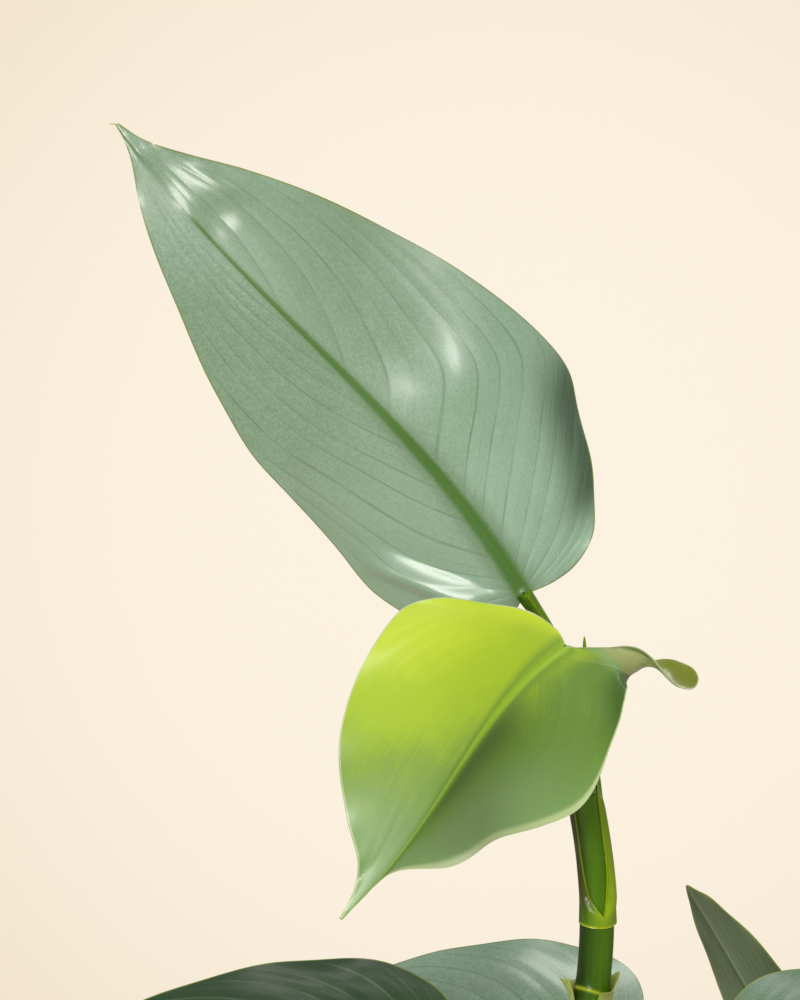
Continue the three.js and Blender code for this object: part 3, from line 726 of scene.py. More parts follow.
@dataclass(frozen=True)
class Wave:
    """The long waves along a blade's margin."""

    height: float = 2.0
    count: float = 2.0
    phase: float = 0.0


@dataclass(frozen=True)
class LobeTwist:
    """A turn of the left lobe round its own axis, between two distances from the joint."""

    axis: Pair
    angle: float
    start: float
    end: float


@dataclass(frozen=True)
class Strip:
    """A long low swelling of the left lobe, whose upper flank catches the light.

    Its places are distances along the midrib and to its left on the flat blade.
    """

    start: Pair
    end: Pair
    height: float
    width: float

    def relief(self, a: Array, b: Array) -> Array:
        """The swelling's height at distances along and to the left of the midrib."""
        steps = np.linspace(-2, 3 * self.width, 300)
        flank = smooth((steps + 1) / 2) * smooth((self.width + 1 - steps) / 2)
        back = smooth((steps - self.width) / 2) * smooth((2 * self.width - steps) / 2)
        profile = np.cumsum(flank / flank.sum() - back / back.sum())
        run = np.subtract(self.end, self.start)
        length = float(np.hypot(*run))
        along = ((a - self.start[0]) * run[0] + (b - self.start[1]) * run[1]) / length
        across = ((b - self.start[1]) * run[0] - (a - self.start[0]) * run[1]) / length
        ends = smooth((along + 6) / 14) * smooth((length + 12 - along) / 20)
        return self.height * ends * np.interp(across, steps, profile) * (b > 0)


@dataclass(frozen=True)
class Bulge:
    """A low round swelling of a blade, placed in the same way as a strip."""

    centre: Pair
    radius: float
    height: float

    def relief(self, a: Array, b: Array) -> Array:
        """The swelling's height at distances along and to the left of the midrib."""
        away = np.hypot(a - self.centre[0], b - self.centre[1]) / self.radius
        return self.height * np.exp(-(away**2))


@dataclass
class Stem:
    """A standing stem with a ring and a tilted scar at each node.

    It thins from radius to top_radius between the two heights of narrows.
    """

    name: str
    radius: float
    top_radius: float
    narrows: Pair
    nodes: tuple[float, ...]
    path: tuple[Triple, ...]
    ring: float = 3.0
    swelling: float = 0.5
    scar_ridge: float = 0.28
    scar_width: float = 0.55
    scar_tilt: float = 2.2
    scar_turn: float = 2.4
    sheathed: float | None = None
    sides: int = 48
    steps_per_mm: float = 1.6

    def curve(self) -> Curve:
        """The stem's centre line."""
        return through(self.path)

    def bare_nodes(self) -> list[float]:
        """The heights of the nodes that no sheath covers."""
        return [node for node in self.nodes if node != self.sheathed]

    def radius_at(self, z: Array) -> Array:
        """The stem's radius at heights."""
        start, end = self.narrows
        rings = np.max([np.exp(-(((z - node) / self.ring) ** 2)) for node in self.bare_nodes()], axis=0)
        plain = self.radius + (self.top_radius - self.radius) * smooth((z - start) / (end - start))
        return plain + self.swelling * rings

    def build(self, material: Material) -> Piece:
        """Makes the stem with tilted ridges where leaves were and are attached.

        Args:
            material: the stem's skin.

        Returns:
            The piece.
        """
        curve = self.curve()
        name = f"stem_{self.name}"

        def scars(angle: Array, share: Array) -> Array:
            """How much each place belongs to a scar, from 0 to 1."""
            z = curve(share)[:, 2]
            tilts = [z - node - self.scar_tilt * np.cos(angle + self.scar_turn * k)
                     for k, node in enumerate(self.bare_nodes())]
            return np.max([np.exp(-((tilt / self.scar_width) ** 2)) for tilt in tilts], axis=0)

        def profile(angle: Array, share: Array) -> Array:
            """Ridges at the scars and shallow flutes between."""
            flutes = 0.012 * np.cos(5 * angle + 9 * share) + 0.006 * np.cos(11 * angle - 14 * share)
            return 1.0 + flutes + scars(angle, share) * self.scar_ridge / self.radius

        steps = int((self.path[-1][2] - self.path[0][2]) * self.steps_per_mm)
        mesh, share, angle = bent_tube(f"{name}_fine", curve, lambda t: self.radius_at(curve(t)[:, 2]),
                                       np.array([0.0, -1.0, 0.0]), self.sides, steps, profile)
        left = np.clip(-np.cos(angle + math.pi / 2), 0, 1)
        start, end = self.narrows
        young = smooth((curve(share)[:, 2] - start) / (end - start))
        # Painted light and shade round the stem, brightest near the front and darkest towards the back; the
        # narrowed top is also lighter.
        light = 0.14 + 0.5 * np.cos(angle + 0.5) + 0.3 * young
        set_attribute(mesh, "bark", 0.75 * scars(angle, share), 0.35 * left**3, light)
        return made_object(f"{name}_fine", mesh, material, (name,))


@dataclass
class Leaf:
    """A leaf on its stalk.

    The stalk departs from the stem at the height node, or else at its top, and meets the blade at joint.
    There the midrib points towards heading and climbs by rise, and it bends down by droop on its way to the
    tip. Roll turns the blade round it. Meets is the angle between the stalk's end and the midrib, leans and
    arrives shape the stalk's bend, and sheath is the length in which its foot thins. Fan draws the veins
    towards the joint, and bow bends the midrib sideways. Shade darkens the whole upper face. Two_tone frosts
    the silver near the lobes, and greens the right half near the tip.
    """

    name: str
    stem: Stem
    departs: float
    joint: Triple
    length: float
    heading: float
    rise: float
    roll: float
    droop: float
    node: float | None = None
    meets: float = 60
    leans: float = 0.06
    arrives: float = 0.3
    left: Side = Side()
    right: Side = Side()
    wave: Wave = Wave()
    twist: LobeTwist | None = None
    fan: float = 1.5
    sheath: float = 15
    slender_foot: float = 0.0
    foot_wall: float = 1.6
    foot_offset: float = 1.9
    stalk_end: float = 2.3
    stalk_taper: float = 0.9
    knee: float = 0.45
    knee_length: float = 5.0
    groove_start: float = 12.0
    groove_edge: float = 0.85
    stalk_sides: int = 40
    stalk_steps: int = 90
    columns: int = 30
    rows: int = 108
    shade: float = 0.0
    young: bool = False
    midrib_width: float = 2.6
    midrib_tip_width: float = 0.34
    vein_count: float = 11.0
    vein_lean: float = 0.32
    bow: float = 0.0
    pleats: float = 0.5
    lip: Pair = (0.0, 0.0)
    swellings: tuple[Strip | Bulge, ...] = ()
    tip_puckers: float = 0.0
    # Painted shade on the right half's rolled-back margin near the joint.
    margin_shade: float = 0.0
    two_tone: float = 0.0
    thickness: float = 0.8
    margin_thickness: float = 0.5
    channel_depth: float = 0.55
    channel_width: float = 1.2
    frill: float = 0.45
    frill_count: float = 7.0
    rib_depth: float = 2.4
    rib_tip_depth: float = 0.3
    gap: float = 0.3
    spine: Curve = field(init=False)

    def __post_init__(self) -> None:
        """Works out the midrib."""
        self.spine = self.midrib()

    @property
    def dusky(self) -> bool:
        """Whether the leaf hangs in the shade, where its skin is dull and dark."""
        return self.shade >= 0.5

    def axes(self) -> Array:
        """The directions along the midrib, to its left, and out of the upper face, at the joint."""
        rise = math.radians(self.rise)
        along = flat_direction(self.heading) * math.cos(rise) + np.array([0, 0, math.sin(rise)])
        left = turned(flat_direction(self.heading + 90), along, math.radians(self.roll))
        return np.array([along, left, np.cross(along, left)])

    def midrib(self, ahead: int = 48, behind: int = 16) -> Curve:
        """The midrib, from behind the joint, where the lobes lie, to the tip.

        Args:
            ahead: steps from the joint to the tip.
            behind: steps behind the joint.

        Returns:
            A function from distances along the midrib to rows of place, along, left and out.
        """
        step = self.length / ahead
        start = self.axes()

        def bent(index: float) -> Array:
            """The leaf's directions after a number of steps."""
            down = math.radians(self.droop) * index / ahead
            return np.array([turned(axis, start[1], down) for axis in start])

        forward = [bent(i + 0.5)[0] * step for i in range(ahead)]
        backward = [-bent(0.5 - i)[0] * step for i in range(1, behind + 1)]
        places = np.vstack([np.cumsum(backward, axis=0)[::-1], np.zeros((1, 3)),
                            np.cumsum(forward, axis=0)])
        frames = np.array([bent(i) for i in range(-behind, ahead + 1)])
        table = np.concatenate([(places + np.array(self.joint))[:, None], frames], axis=1)

        def at(a: Array) -> Array:
            """Rows at the distances a."""
            index = np.clip(a / step + behind, 0, ahead + behind - 1e-6)
            low = index.astype(int)
            mix = (index - low)[..., None, None]
            rows = table[low] * (1 - mix) + table[low + 1] * mix
            rows[..., 1:, :] = unit(rows[..., 1:, :])
            return rows

        return at

    def lay(self, a: Array, b: Array) -> Array:
        """Where points of the flat blade lie on the bent leaf.

        Args:
            a: distances along the midrib.
            b: distances to its left.

        Returns:
            Places in millimetres.
        """
        lift = np.zeros_like(a)
        if self.twist:
            axis = unit(np.array(self.twist.axis))
            reach = a * axis[0] + b * axis[1]
            across = b * axis[0] - a * axis[1]
            turn = math.radians(self.twist.angle) * smooth(
                (reach - self.twist.start) / (self.twist.end - self.twist.start))
            behind = smooth((-2 - a) / 12)
            flat = across * (1 + (np.cos(turn) - 1) * behind)
            lift = np.where(b > 0, across * np.sin(turn) * behind, 0.0)
            a, b = (np.where(b > 0, reach * axis[0] - flat * axis[1], a),
                    np.where(b > 0, reach * axis[1] + flat * axis[0], b))
        share = a / self.length
        away = np.abs(b)
        out = np.empty_like(a)
        up = np.empty_like(a)
        for side, chosen, shift in ((self.left, b > 0, 0.0), (self.right, b <= 0, 0.37)):
            half_width = 0.3 * self.length * side.width
            fold = np.radians(staged(side.fold, share))
            curl = np.radians(staged(side.curl, share)) / half_width
            ripple = self.wave.height * (away / half_width) ** 2 * np.sin(
                2 * np.pi * (self.wave.count * share + self.wave.phase + shift))
            out = np.where(chosen, (np.sin(fold + curl * away) - np.sin(fold)) / curl, out)
            up = np.where(chosen, (np.cos(fold) - np.cos(fold + curl * away)) / curl + ripple, up)
        rows = self.spine(a)
        return (rows[..., 0, :] + rows[..., 2, :] * (np.sign(b) * out - self.sway(share))[..., None]
                + rows[..., 3, :] * (up + lift)[..., None])

    def vein_phase(self, row: Array, v: Array, side: Array) -> Array:
        """A number that is whole on each side vein: the veins leave the midrib and sweep forward."""
        phi = row - (0.30 + self.vein_lean * (1 - row) ** 2) * v - 0.13 * v**3
        phase = self.vein_count * phi + 0.22 * np.sin(9 * phi + 2 * side) + 0.12 * np.sin(23 * phi)
        return phase + 0.5 * side

    def pleat(self, phase: Array) -> Array:
        """The height of the pleats between the side veins, and of the veins sunk between them."""
        groove = np.abs((phase + 0.5) % 1.0 - 0.5)
        return 0.16 * np.cos(2 * np.pi * (groove - 0.5)) - 0.20 * np.exp(-((groove / 0.07) ** 2))

    def puckers(self, a: Array, b: Array, v: Array) -> Array:
        """The height of the low dents near the tip, which catch the light."""
        share = a / self.length
        there = smooth((share - 0.74) / 0.08) * smooth((0.985 - share) / 0.05) * (1 - v**3)
        there = there * (1 - 0.8 * smooth((b + 1) / 4))
        waves = np.sin(b / 3.3 + 0.9 * np.sin(a / 7) + 0.8)
        waves = waves + 1.2 * np.sin(a / 5 + 1.3 * np.sin(b / 5.5) + 0.4)
        return self.tip_puckers * there * waves

    def sway(self, share: Array) -> Array:
        """How far the midrib bows to the right of its straight line, in millimetres."""
        s = np.clip(share, 0, 1)
        return self.bow * s * (1 - s) * (1 - s / 0.62)

    def rib_half_width(self, share: Array) -> Array:
        """Half the width of the green midrib band, in millimetres."""
        tapered = self.midrib_width - self.midrib_tip_width
        return self.midrib_tip_width + tapered * (1 - np.clip(share, 0, 1)) ** 1.9

    def tints(self, share: Array, v: Array, side: Array) -> tuple[Array, Array, Array]:
        """The colouring of the upper face.

        Args:
            share: shares of the blade's length.
            v: how far out from the midrib towards the margin, from 0 to 1.
            side: 1 on the left half and -1 on the right half.

        Returns:
            How frosted, fresh and dark each place is, or how lime, cool and dark on the young leaf.
        """
        right = side < 0
        if not self.young:
            # Painted shade: the right half darkens where its margin rolls back near the joint.
            rolled = smooth((v - 0.5) / 0.5) * smooth((share + 0.02) / 0.08) * smooth((0.33 - share) / 0.16)
            dark = self.shade + self.margin_shade * np.where(right, rolled, 0.0)
            to_tip = smooth((share - 0.36) / 0.3) * smooth((1 - share) / 0.2)
            fresh = self.two_tone * np.where(right, to_tip, 0.15)
            frost = self.two_tone * smooth((0.5 - share) / 0.3) * smooth(v / 0.25)
            return frost, fresh, np.clip(dark, 0, 1)
        lit = smooth((0.72 + 0.15 * v - share) / 0.66) * (0.5 + 0.58 * smooth(v / 0.9))
        unlit = 0.45 * smooth((0.42 - share) / 0.42) * smooth((0.5 - v) / 0.5)
        cool_lit = smooth((share - 0.5) / 0.4) * 0.8
        cool_unlit = smooth((v - 0.3) / 0.55) * smooth((share - 0.08) / 0.3) * 0.95
        cool_unlit = cool_unlit + 2 * smooth((-0.03 - share) / 0.08) * smooth((share + 0.24) / 0.05)
        middle = smooth((share - 0.16) / 0.2) * smooth((0.8 - share) / 0.25)
        near_rib = 0.75 * smooth((0.45 - v) / 0.3) * middle
        sinus = smooth((0.16 - share) / 0.16) * smooth((v - 0.55) / 0.4)
        return (np.where(right, lit, unlit), np.where(right, cool_lit, cool_unlit),
                np.where(right, 0.0, np.maximum(near_rib, sinus)))

    def build_blade(self, material: Material) -> Piece:
        """Lays a slab out as the blade, with veins sunk into its upper face and a rib below its midrib.

        Args:
            material: the blade's skin.

        Returns:
            The piece.
        """
        name = f"{self.name}_blade"
        mesh, column, line, under = slab(f"{name}_fine", 2 * self.columns, self.rows)
        t = (column - self.columns) / self.columns
        v = 0.62 * np.abs(t) + 0.38 * t * t
        side = np.where(t >= 0, 1.0, -1.0)
        row = line / self.rows
        left = (side > 0)[:, None]
        halves = []
        for half in (self.left, self.right):
            flat = through(np.array(half.outline.value) * (1, half.width) * self.length, open_ends=False)
            halves.append((flat(row), tangents(flat, row)))
        margin, heading = (np.where(left, *pair) for pair in zip(*halves))
        start = self.length * (0.97 * row**self.fan + 0.03 * row)
        a = start + (margin[:, 0] - start) * v
        share = a / self.length
        width, drop = self.lip
        lipped = np.where(side > 0, smooth((share - 0.1) / 0.16) * smooth((0.86 - share) / 0.2), 0.0)
        b = side * margin[:, 1] * v + self.sway(share) * v + width * lipped * smooth((v - 0.84) / 0.16)
        nudge = 0.4
        ahead = self.lay(a + nudge, b) - self.lay(a - nudge, b)
        across = self.lay(a, b + nudge) - self.lay(a, b - nudge)
        normal = unit(np.cross(ahead, across))
        rim = (1 - v) * np.abs((margin[:, 0] - start) * heading[:, 1] - margin[:, 1] * heading[:, 0])
        # Painted highlight: on the lip the pale margin band widens to stand for the sheen along it.
        rim = rim / (1 + 0.4 * width * lipped)
        away = np.hypot(b, np.minimum(a, 0))
        rib = away / self.rib_half_width(share)
        phase = self.vein_phase(row, v, side)
        inside = smooth(rim / 6) * smooth((away - 1.5) / 5) * smooth(self.length * (1 - row) / 25)
        relief = self.pleats * inside * self.pleat(phase)
        relief = relief - drop * lipped * np.clip((v - 0.86) / 0.14, 0, 1) ** 2
        for swelling in self.swellings:
            relief = relief + swelling.relief(a, b)
        if self.tip_puckers:
            relief = relief + self.puckers(a, b, v)
        channel = self.channel_depth * np.exp(-((b / self.channel_width) ** 2))
        channel = channel * (1 - smooth(share)) * smooth((a + 2) / 4)
        frills = self.frill * v**8 * np.sin(2 * np.pi * (self.frill_count * row + self.wave.phase))
        frills = frills * smooth((1 - row) / 0.15)
        half = 0.5 * (self.thickness + (self.margin_thickness - self.thickness) * v**3)
        depth = self.rib_depth + (self.rib_tip_depth - self.rib_depth) * start / self.length
        keel = depth * np.exp(-((b / (0.5 + 0.55 * depth)) ** 2)) * smooth((a + 3) / 3)
        height = np.where(under, -half - keel + 0.8 * relief, half + relief - channel) + frills
        set_places(mesh, self.lay(a, b) + normal * height[:, None])
        set_attribute(mesh, "leaf", share, rib, rim)
        set_attribute(mesh, "veins", phase, v, under.astype(float))
        set_attribute(mesh, "tint", *self.tints(share, v, side))
        return made_object(f"{name}_fine", mesh, material, (name,))

    def stalk_curve(self) -> Curve:
        """The stalk's line: up beside the stem, then out to the joint from below the blade."""
        stem = self.stem.curve()
        start = share_at_height(stem, self.node) if self.node else 1.0
        climb = tangents(stem, np.array([start]))[0]
        outward = flat_direction(self.departs)
        root = stem(np.array([start]))[0]
        root = root + (outward * self.foot_offset if self.node else climb * self.gap)
        along, _, out = self.axes()
        meets = math.radians(self.meets)
        arrive = along * math.cos(meets) + out * math.sin(meets)
        end = np.array(self.joint) - arrive * (self.thickness / 2 + self.gap)
        reach = float(np.linalg.norm(end - root))
        leans = self.leans if self.node else 0.0
        return bezier(root, root + climb * 0.4 * reach + outward * leans * reach,
                      end - arrive * self.arrives * reach, end)

    def foot_radius(self) -> float:
        """The radius of the stalk's foot, which clasps the stem or carries it on."""
        if self.slender_foot:
            return self.slender_foot
        below = self.node is not None and self.node < self.stem.narrows[0]
        stem_radius = self.stem.radius if below else self.stem.top_radius
        return stem_radius + (self.foot_wall if self.node else 0.0)

    def stalk_radius(self, share: Array, foot: float) -> Array:
        """The stalk's radius: slender above its foot, with a slight swelling below the blade."""
        length = length_of(self.stalk_curve())
        slender = self.stalk_end + self.stalk_taper * (1 - share)
        knee = self.knee * np.exp(-(((1 - share) * length / self.knee_length) ** 2))
        return foot + (slender - foot) * smooth(share * length / self.sheath) + knee

    def build_stalk(self, material: Material) -> Piece:
        """Makes the grooved stalk, whose foot clasps the stem.

        Args:
            material: the stalk's skin.

        Returns:
            The piece.
        """
        name = f"{self.name}_stalk"
        curve = self.stalk_curve()
        length = length_of(curve)
        foot = self.foot_radius()

        def profile(angle: Array, share: Array) -> Array:
            """A groove along the side that faces the stem, with raised edges."""
            groove = 0.24 * np.exp(-((angle / 0.42) ** 2))
            edges = 0.07 * np.exp(-(((np.abs(angle) - self.groove_edge) / 0.22) ** 2))
            return 1.0 - (groove - edges) * smooth(share * length / self.groove_start)

        inward = -flat_direction(self.departs) + np.array([0, 0, 0.2])
        mesh, share, angle = bent_tube(f"{name}_fine", curve, lambda t: self.stalk_radius(t, foot), inward,
                                       self.stalk_sides, self.stalk_steps, profile, spacing=1.2)
        edge = np.exp(-(((np.abs(angle) - self.groove_edge) / 0.12) ** 2))
        edge = edge * smooth(share * length / self.groove_start)
        foot_scar = np.exp(-((share * length / 1.2) ** 2)) * (self.node is not None)
        blush = 0.25 * smooth((np.abs(angle) - 1.2) / 1.5) * (1 - share)
        outward = unit(vertex_places(mesh) / MM - curve(share))
        # Painted light: brighter where the stalk faces up, right and towards the front.
        light = 0.4 + 0.45 * outward @ unit(np.array([0.5, -0.75, 0.45]))
        set_attribute(mesh, "bark", np.maximum(0.28 * edge, 0.5 * foot_scar), blush, light)
        return made_object(f"{name}_fine", mesh, material, (name,))


@dataclass
class CrownSheath:
    """The open sheath of the crown leaf's stalk: it hugs the stem, and parts at the front in a long V.

    The fields that end in faces are the compass angles at which its skin is palest from a painted glow,
    sunlit from painted light, dark, or lit from painted light.
    """

    stem: Stem
    stalk: Leaf
    base: float = 287.9
    top: float = 340.0
    tilt: float = 0.8
    clearance: float = 0.12
    foot_radius: float = 6.0
    wall: float = 1.9
    lean: float = 0.6
    edge_wall: float = 0.3
    sinks: float = 0.4
    glow_faces: float = 296
    sun_faces: float = 335
    dark_faces: float = 188
    dim_faces: float = 2
    light_faces: float = 310
    pale_edge: float = 0.42
    edge_radius: float = 5.2
    columns: int = 120
    rows: int = 130

    def opening(self, z: Array) -> tuple[Array, Array]:
        """Where the V between the flaps faces and half its angle, in degrees, at heights."""
        heights = [self.base, 291.5, 293.5, 297, 301, 306, 312, 322, 330, 335, self.top]
        half = np.interp(z, heights, [0.01, 0.01, 15, 34, 47, 57, 62, 61, 64, 100, 161])
        faces = np.interp(z, [self.base, 293, 298, 311, 330, self.top], [292, 290, 276, 272, 278, 253])
        return faces, half

    def stalk_reach(self, centre: Array, z: Array, radians: Array) -> tuple[Array, Array]:
        """Where the stalk's own round section lies in each direction.

        Args:
            centre: the stem's centre at each height.
            z: heights.
            radians: directions.

        Returns:
            The distances from the stem's centre to its near and its far side, both 0 where it isn't.
        """
        line = self.stalk.stalk_curve()
        share = np.linspace(0, 0.6, 400)
        heights = line(share)[:, 2]
        low = line(np.interp(np.minimum(z, self.top), heights, share))
        offset = low[:, :2] - centre[:, :2]
        along = offset[:, 0] * np.cos(radians) + offset[:, 1] * np.sin(radians)
        foot = self.stem.top_radius + self.stalk.foot_wall
        radius = self.stalk.stalk_radius(np.interp(z, heights, share), foot)
        inside = radius**2 - (np.hypot(offset[:, 0], offset[:, 1]) ** 2 - along**2)
        half = np.sqrt(np.maximum(inside, 0))
        return np.where(inside > 0, along - half, 0.0), np.where(inside > 0, along + half, 0.0)

    def build(self, material: Material) -> Piece:
        """Wraps a slab round the stem.

        Args:
            material: the stalk's skin.

        Returns:
            The piece.
        """
        mesh, column, line, under = slab("crown_sheath", self.columns, self.rows)
        curve = self.stem.curve()
        u = column / self.columns
        rise = (line / self.rows) ** 1.15
        z = self.base + (self.top - self.base) * rise
        faces, half_gap = self.opening(z)
        turn = half_gap + (360 - 2 * half_gap) * (1 - u)
        radians = np.radians(faces + turn)
        foot = self.tilt * (1 - rise) ** 3 * np.cos(np.radians(turn))
        low = np.minimum(z, self.stem.path[-1][2])
        share = np.interp(low, curve(np.linspace(0, 1, 800))[:, 2], np.linspace(0, 1, 800))
        centre = curve(share)
        from_edge = np.minimum(turn - half_gap, 360 - half_gap - turn)
        body = 1 - (1 - smooth(from_edge / 38)) * smooth((z - 291) / 5)
        inner = self.stem.radius_at(low) + self.clearance
        full = self.stem.top_radius + self.clearance + self.wall + self.lean * np.cos(radians)
        full = self.foot_radius + (full - self.foot_radius) * smooth((z - self.base) / 10)
        thin = inner + self.edge_wall
        near, far = self.stalk_reach(centre, z, radians)
        leaving = smooth((z - 326) / 13)
        thick = thin + (np.maximum(full, thin) - thin) * body * (1 - 0.5 * leaving)
        outer = np.maximum(thick, far - self.sinks * leaving)
        inner = np.where(near > inner, inner + (near + self.sinks - inner) * leaving, inner)
        lip = 0.2 * np.exp(-((from_edge / 5) ** 2)) * smooth((z - 293) / 6)
        closed = np.exp(-((from_edge / 8) ** 2)) * (half_gap < 1)
        radius = np.where(under, inner, outer + lip)
        centre[:, 2] = z - foot
        out = np.stack([np.cos(radians), np.sin(radians), np.zeros_like(radians)], -1)
        set_places(mesh, centre + out * radius[:, None])
        ring = np.exp(-(((z - self.base) / 0.75) ** 2))
        from_rim = from_edge * np.radians(1) * self.edge_radius
        edge = np.exp(-((from_rim / self.pale_edge) ** 2)) * smooth((z - 292) / 4)
        # Painted light: a glow at the foot of the V, a sunlit patch and a lit side, all set by facing.
        toward = np.clip(facing(radians, self.glow_faces), 0, 1)
        glow = 0.55 * np.exp(-(((z - 295) / 6.5) ** 2)) * toward**5
        painted_sun = 0.3 * np.clip(facing(radians, self.sun_faces), 0, 1) ** 3
        # The scar colour holds the ring scar, pale edges and seam, and also the painted glow and sunlit
        # patch.
        scar = np.maximum.reduce([0.7 * ring, 0.34 * edge, glow, 0.2 * closed, painted_sun])
        dark = smooth((facing(radians, self.dark_faces) + 0.05) / 0.75)
        dim = smooth((facing(radians, self.dim_faces) - 0.45) / 0.4)
        blush = np.maximum(0.9 * dark * smooth((z - 289) / 10), 0.25 * dim * smooth((z - 300) / 14))
        light = 0.45 + 0.5 * np.clip(facing(radians, self.light_faces), -0.6, 1)
        set_attribute(mesh, "bark", scar, blush * (1 - 0.85 * edge), light)
        return made_object("crown_sheath", mesh, material)


@dataclass
class Collar:
    """A short torn cuff of bud sheath round a node."""

    name: str
    stem: Stem
    node: float
    height: float
    opens: float
    gap: float
    clearance: float = 1.15
    flare: float = 2.6
    thickness: float = 0.45
    columns: int = 96
    rows: int = 18

    def build(self, material: Material) -> Piece:
        """Wraps a slab round the stem, torn along its top.

        Args:
            material: the husk's skin.

        Returns:
            The piece.
        """
        name = f"collar_{self.name}"
        mesh, column, line, under = slab(f"{name}_fine", self.columns, self.rows)
        curve = self.stem.curve()
        base = curve(np.array([share_at_height(curve, self.node)]))[0]
        turn = column / self.columns
        up = line / self.rows
        angle = np.radians(self.opens + self.gap / 2 + (360 - self.gap) * turn)
        tears = 0.06 * np.sin(19 * turn + self.node) + 0.03 * np.sin(47 * turn) - 0.25 * np.exp(
            -(((turn - 0.4) / 0.03) ** 2))
        top = self.height * (0.75 + 0.25 * np.sin(9 * turn + self.node) + tears)
        frill = 0.5 * up**3 * np.sin(23 * turn)
        spread = self.stem.radius + self.clearance + self.flare * up**1.6 + frill
        spread = spread + np.where(under, 0.0, self.thickness)
        out = np.stack([np.cos(angle), np.sin(angle), np.zeros_like(angle)], -1)
        places = base + out * spread[:, None]
        places[:, 2] += top * up
        set_places(mesh, places)
        edge = np.minimum((1 - up) * top, np.minimum(turn, 1 - turn) * self.stem.radius * 6)
        set_attribute(mesh, "husk", up, edge, turn)
        return made_object(f"{name}_fine", mesh, material, (name,))


@dataclass
class Root:
    """A knobbly root that leaves the stem in the air and enters the soil at one of its path's points."""

    name: str
    radius: float
    path: tuple[Triple, ...]
    enters: int = 3
    taper: float = 0.35
    sides: int = 20
    steps: int = 120

    def build(self, material: Material) -> Piece:
        """Makes the root.

        Args:
            material: the root's skin.

        Returns:
            The piece.
        """
        name = f"root_{self.name}"

        def profile(angle: Array, share: Array) -> Array:
            """Shallow knobs and rings."""
            knobs = 1 + 0.05 * np.sin(70 * share + 2 * angle) * np.sin(31 * share)
            return knobs + 0.04 * np.sin(160 * share)

        mesh, _, _ = bent_tube(f"{name}_fine", through(self.path),
                               lambda t: self.radius * (1 - self.taper * t), np.array([1.0, 0, 0]),
                               self.sides, self.steps, profile)
        return made_object(f"{name}_fine", mesh, material, (name,))


@dataclass
class Spear:
    """The rolled tip of the next leaf, with its free edge wound round it."""

    radius: float = 1.9
    tip_radius: float = 0.12
    sides: int = 32
    steps: int = 70
    path: tuple[Triple, ...] = ((11, 1.9, 331.5), (10.6, 1.9, 345), (9.8, 2.4, 364), (9.2, 1.4, 384.4))

    def radius_at(self, share: Array) -> Array:
        """The spear's radius: even below, and drawn out to its point above."""
        return self.tip_radius + (self.radius - self.tip_radius) * (1 - share**3) ** 0.62

    def build(self, material: Material) -> Piece:
        """Makes the spear.

        Args:
            material: the stalk's skin.

        Returns:
            The piece.
        """

        def profile(angle: Array, share: Array) -> Array:
            """The free edge: a step that winds slowly round."""
            wound = (angle + 2.2 * share) % (2 * math.pi) / (2 * math.pi)
            return 1 - 0.16 * (1 - wound) * smooth(wound / 0.04)

        mesh, share, _ = bent_tube("spear_fine", through(self.path), self.radius_at, np.array([0, -1.0, 0]),
                                   self.sides, self.steps, profile)
        set_attribute(mesh, "bark", 0.35 * share, np.zeros_like(share), 0.3 + 0.4 * share)
        return made_object("spear_fine", mesh, material, ("spear",))


@dataclass
class TipThread:
    """The dry thread that the crown leaf's tip ends in. Its path is measured from the tip."""

    leaf: Leaf
    radius: float = 0.26
    taper: float = 0.6
    sides: int = 10
    steps: int = 24
    path: tuple[Triple, ...] = ((2.2, 0, -2.2), (0.4, -0.1, -0.3), (-1.1, -0.2, 0.1), (-2.7, -0.1, 0.1))

    def build(self, material: Material) -> Piece:
        """Makes the thread.

        Args:
            material: the stalk's skin.

        Returns:
            The piece.
        """
        tip = self.leaf.lay(np.array([self.leaf.length]), np.array([0.0]))[0]
        mesh, share, _ = bent_tube("tip_thread", through(tip + np.array(self.path)),
                                   lambda t: self.radius * (1 - self.taper * t), np.array([0, -1.0, 0]),
                                   self.sides, self.steps)
        set_attribute(mesh, "bark", 0.3 + 0.4 * share, 0.4 * share, np.full_like(share, 0.5))
        return made_object("tip_thread", mesh, material)


# Soil and pot


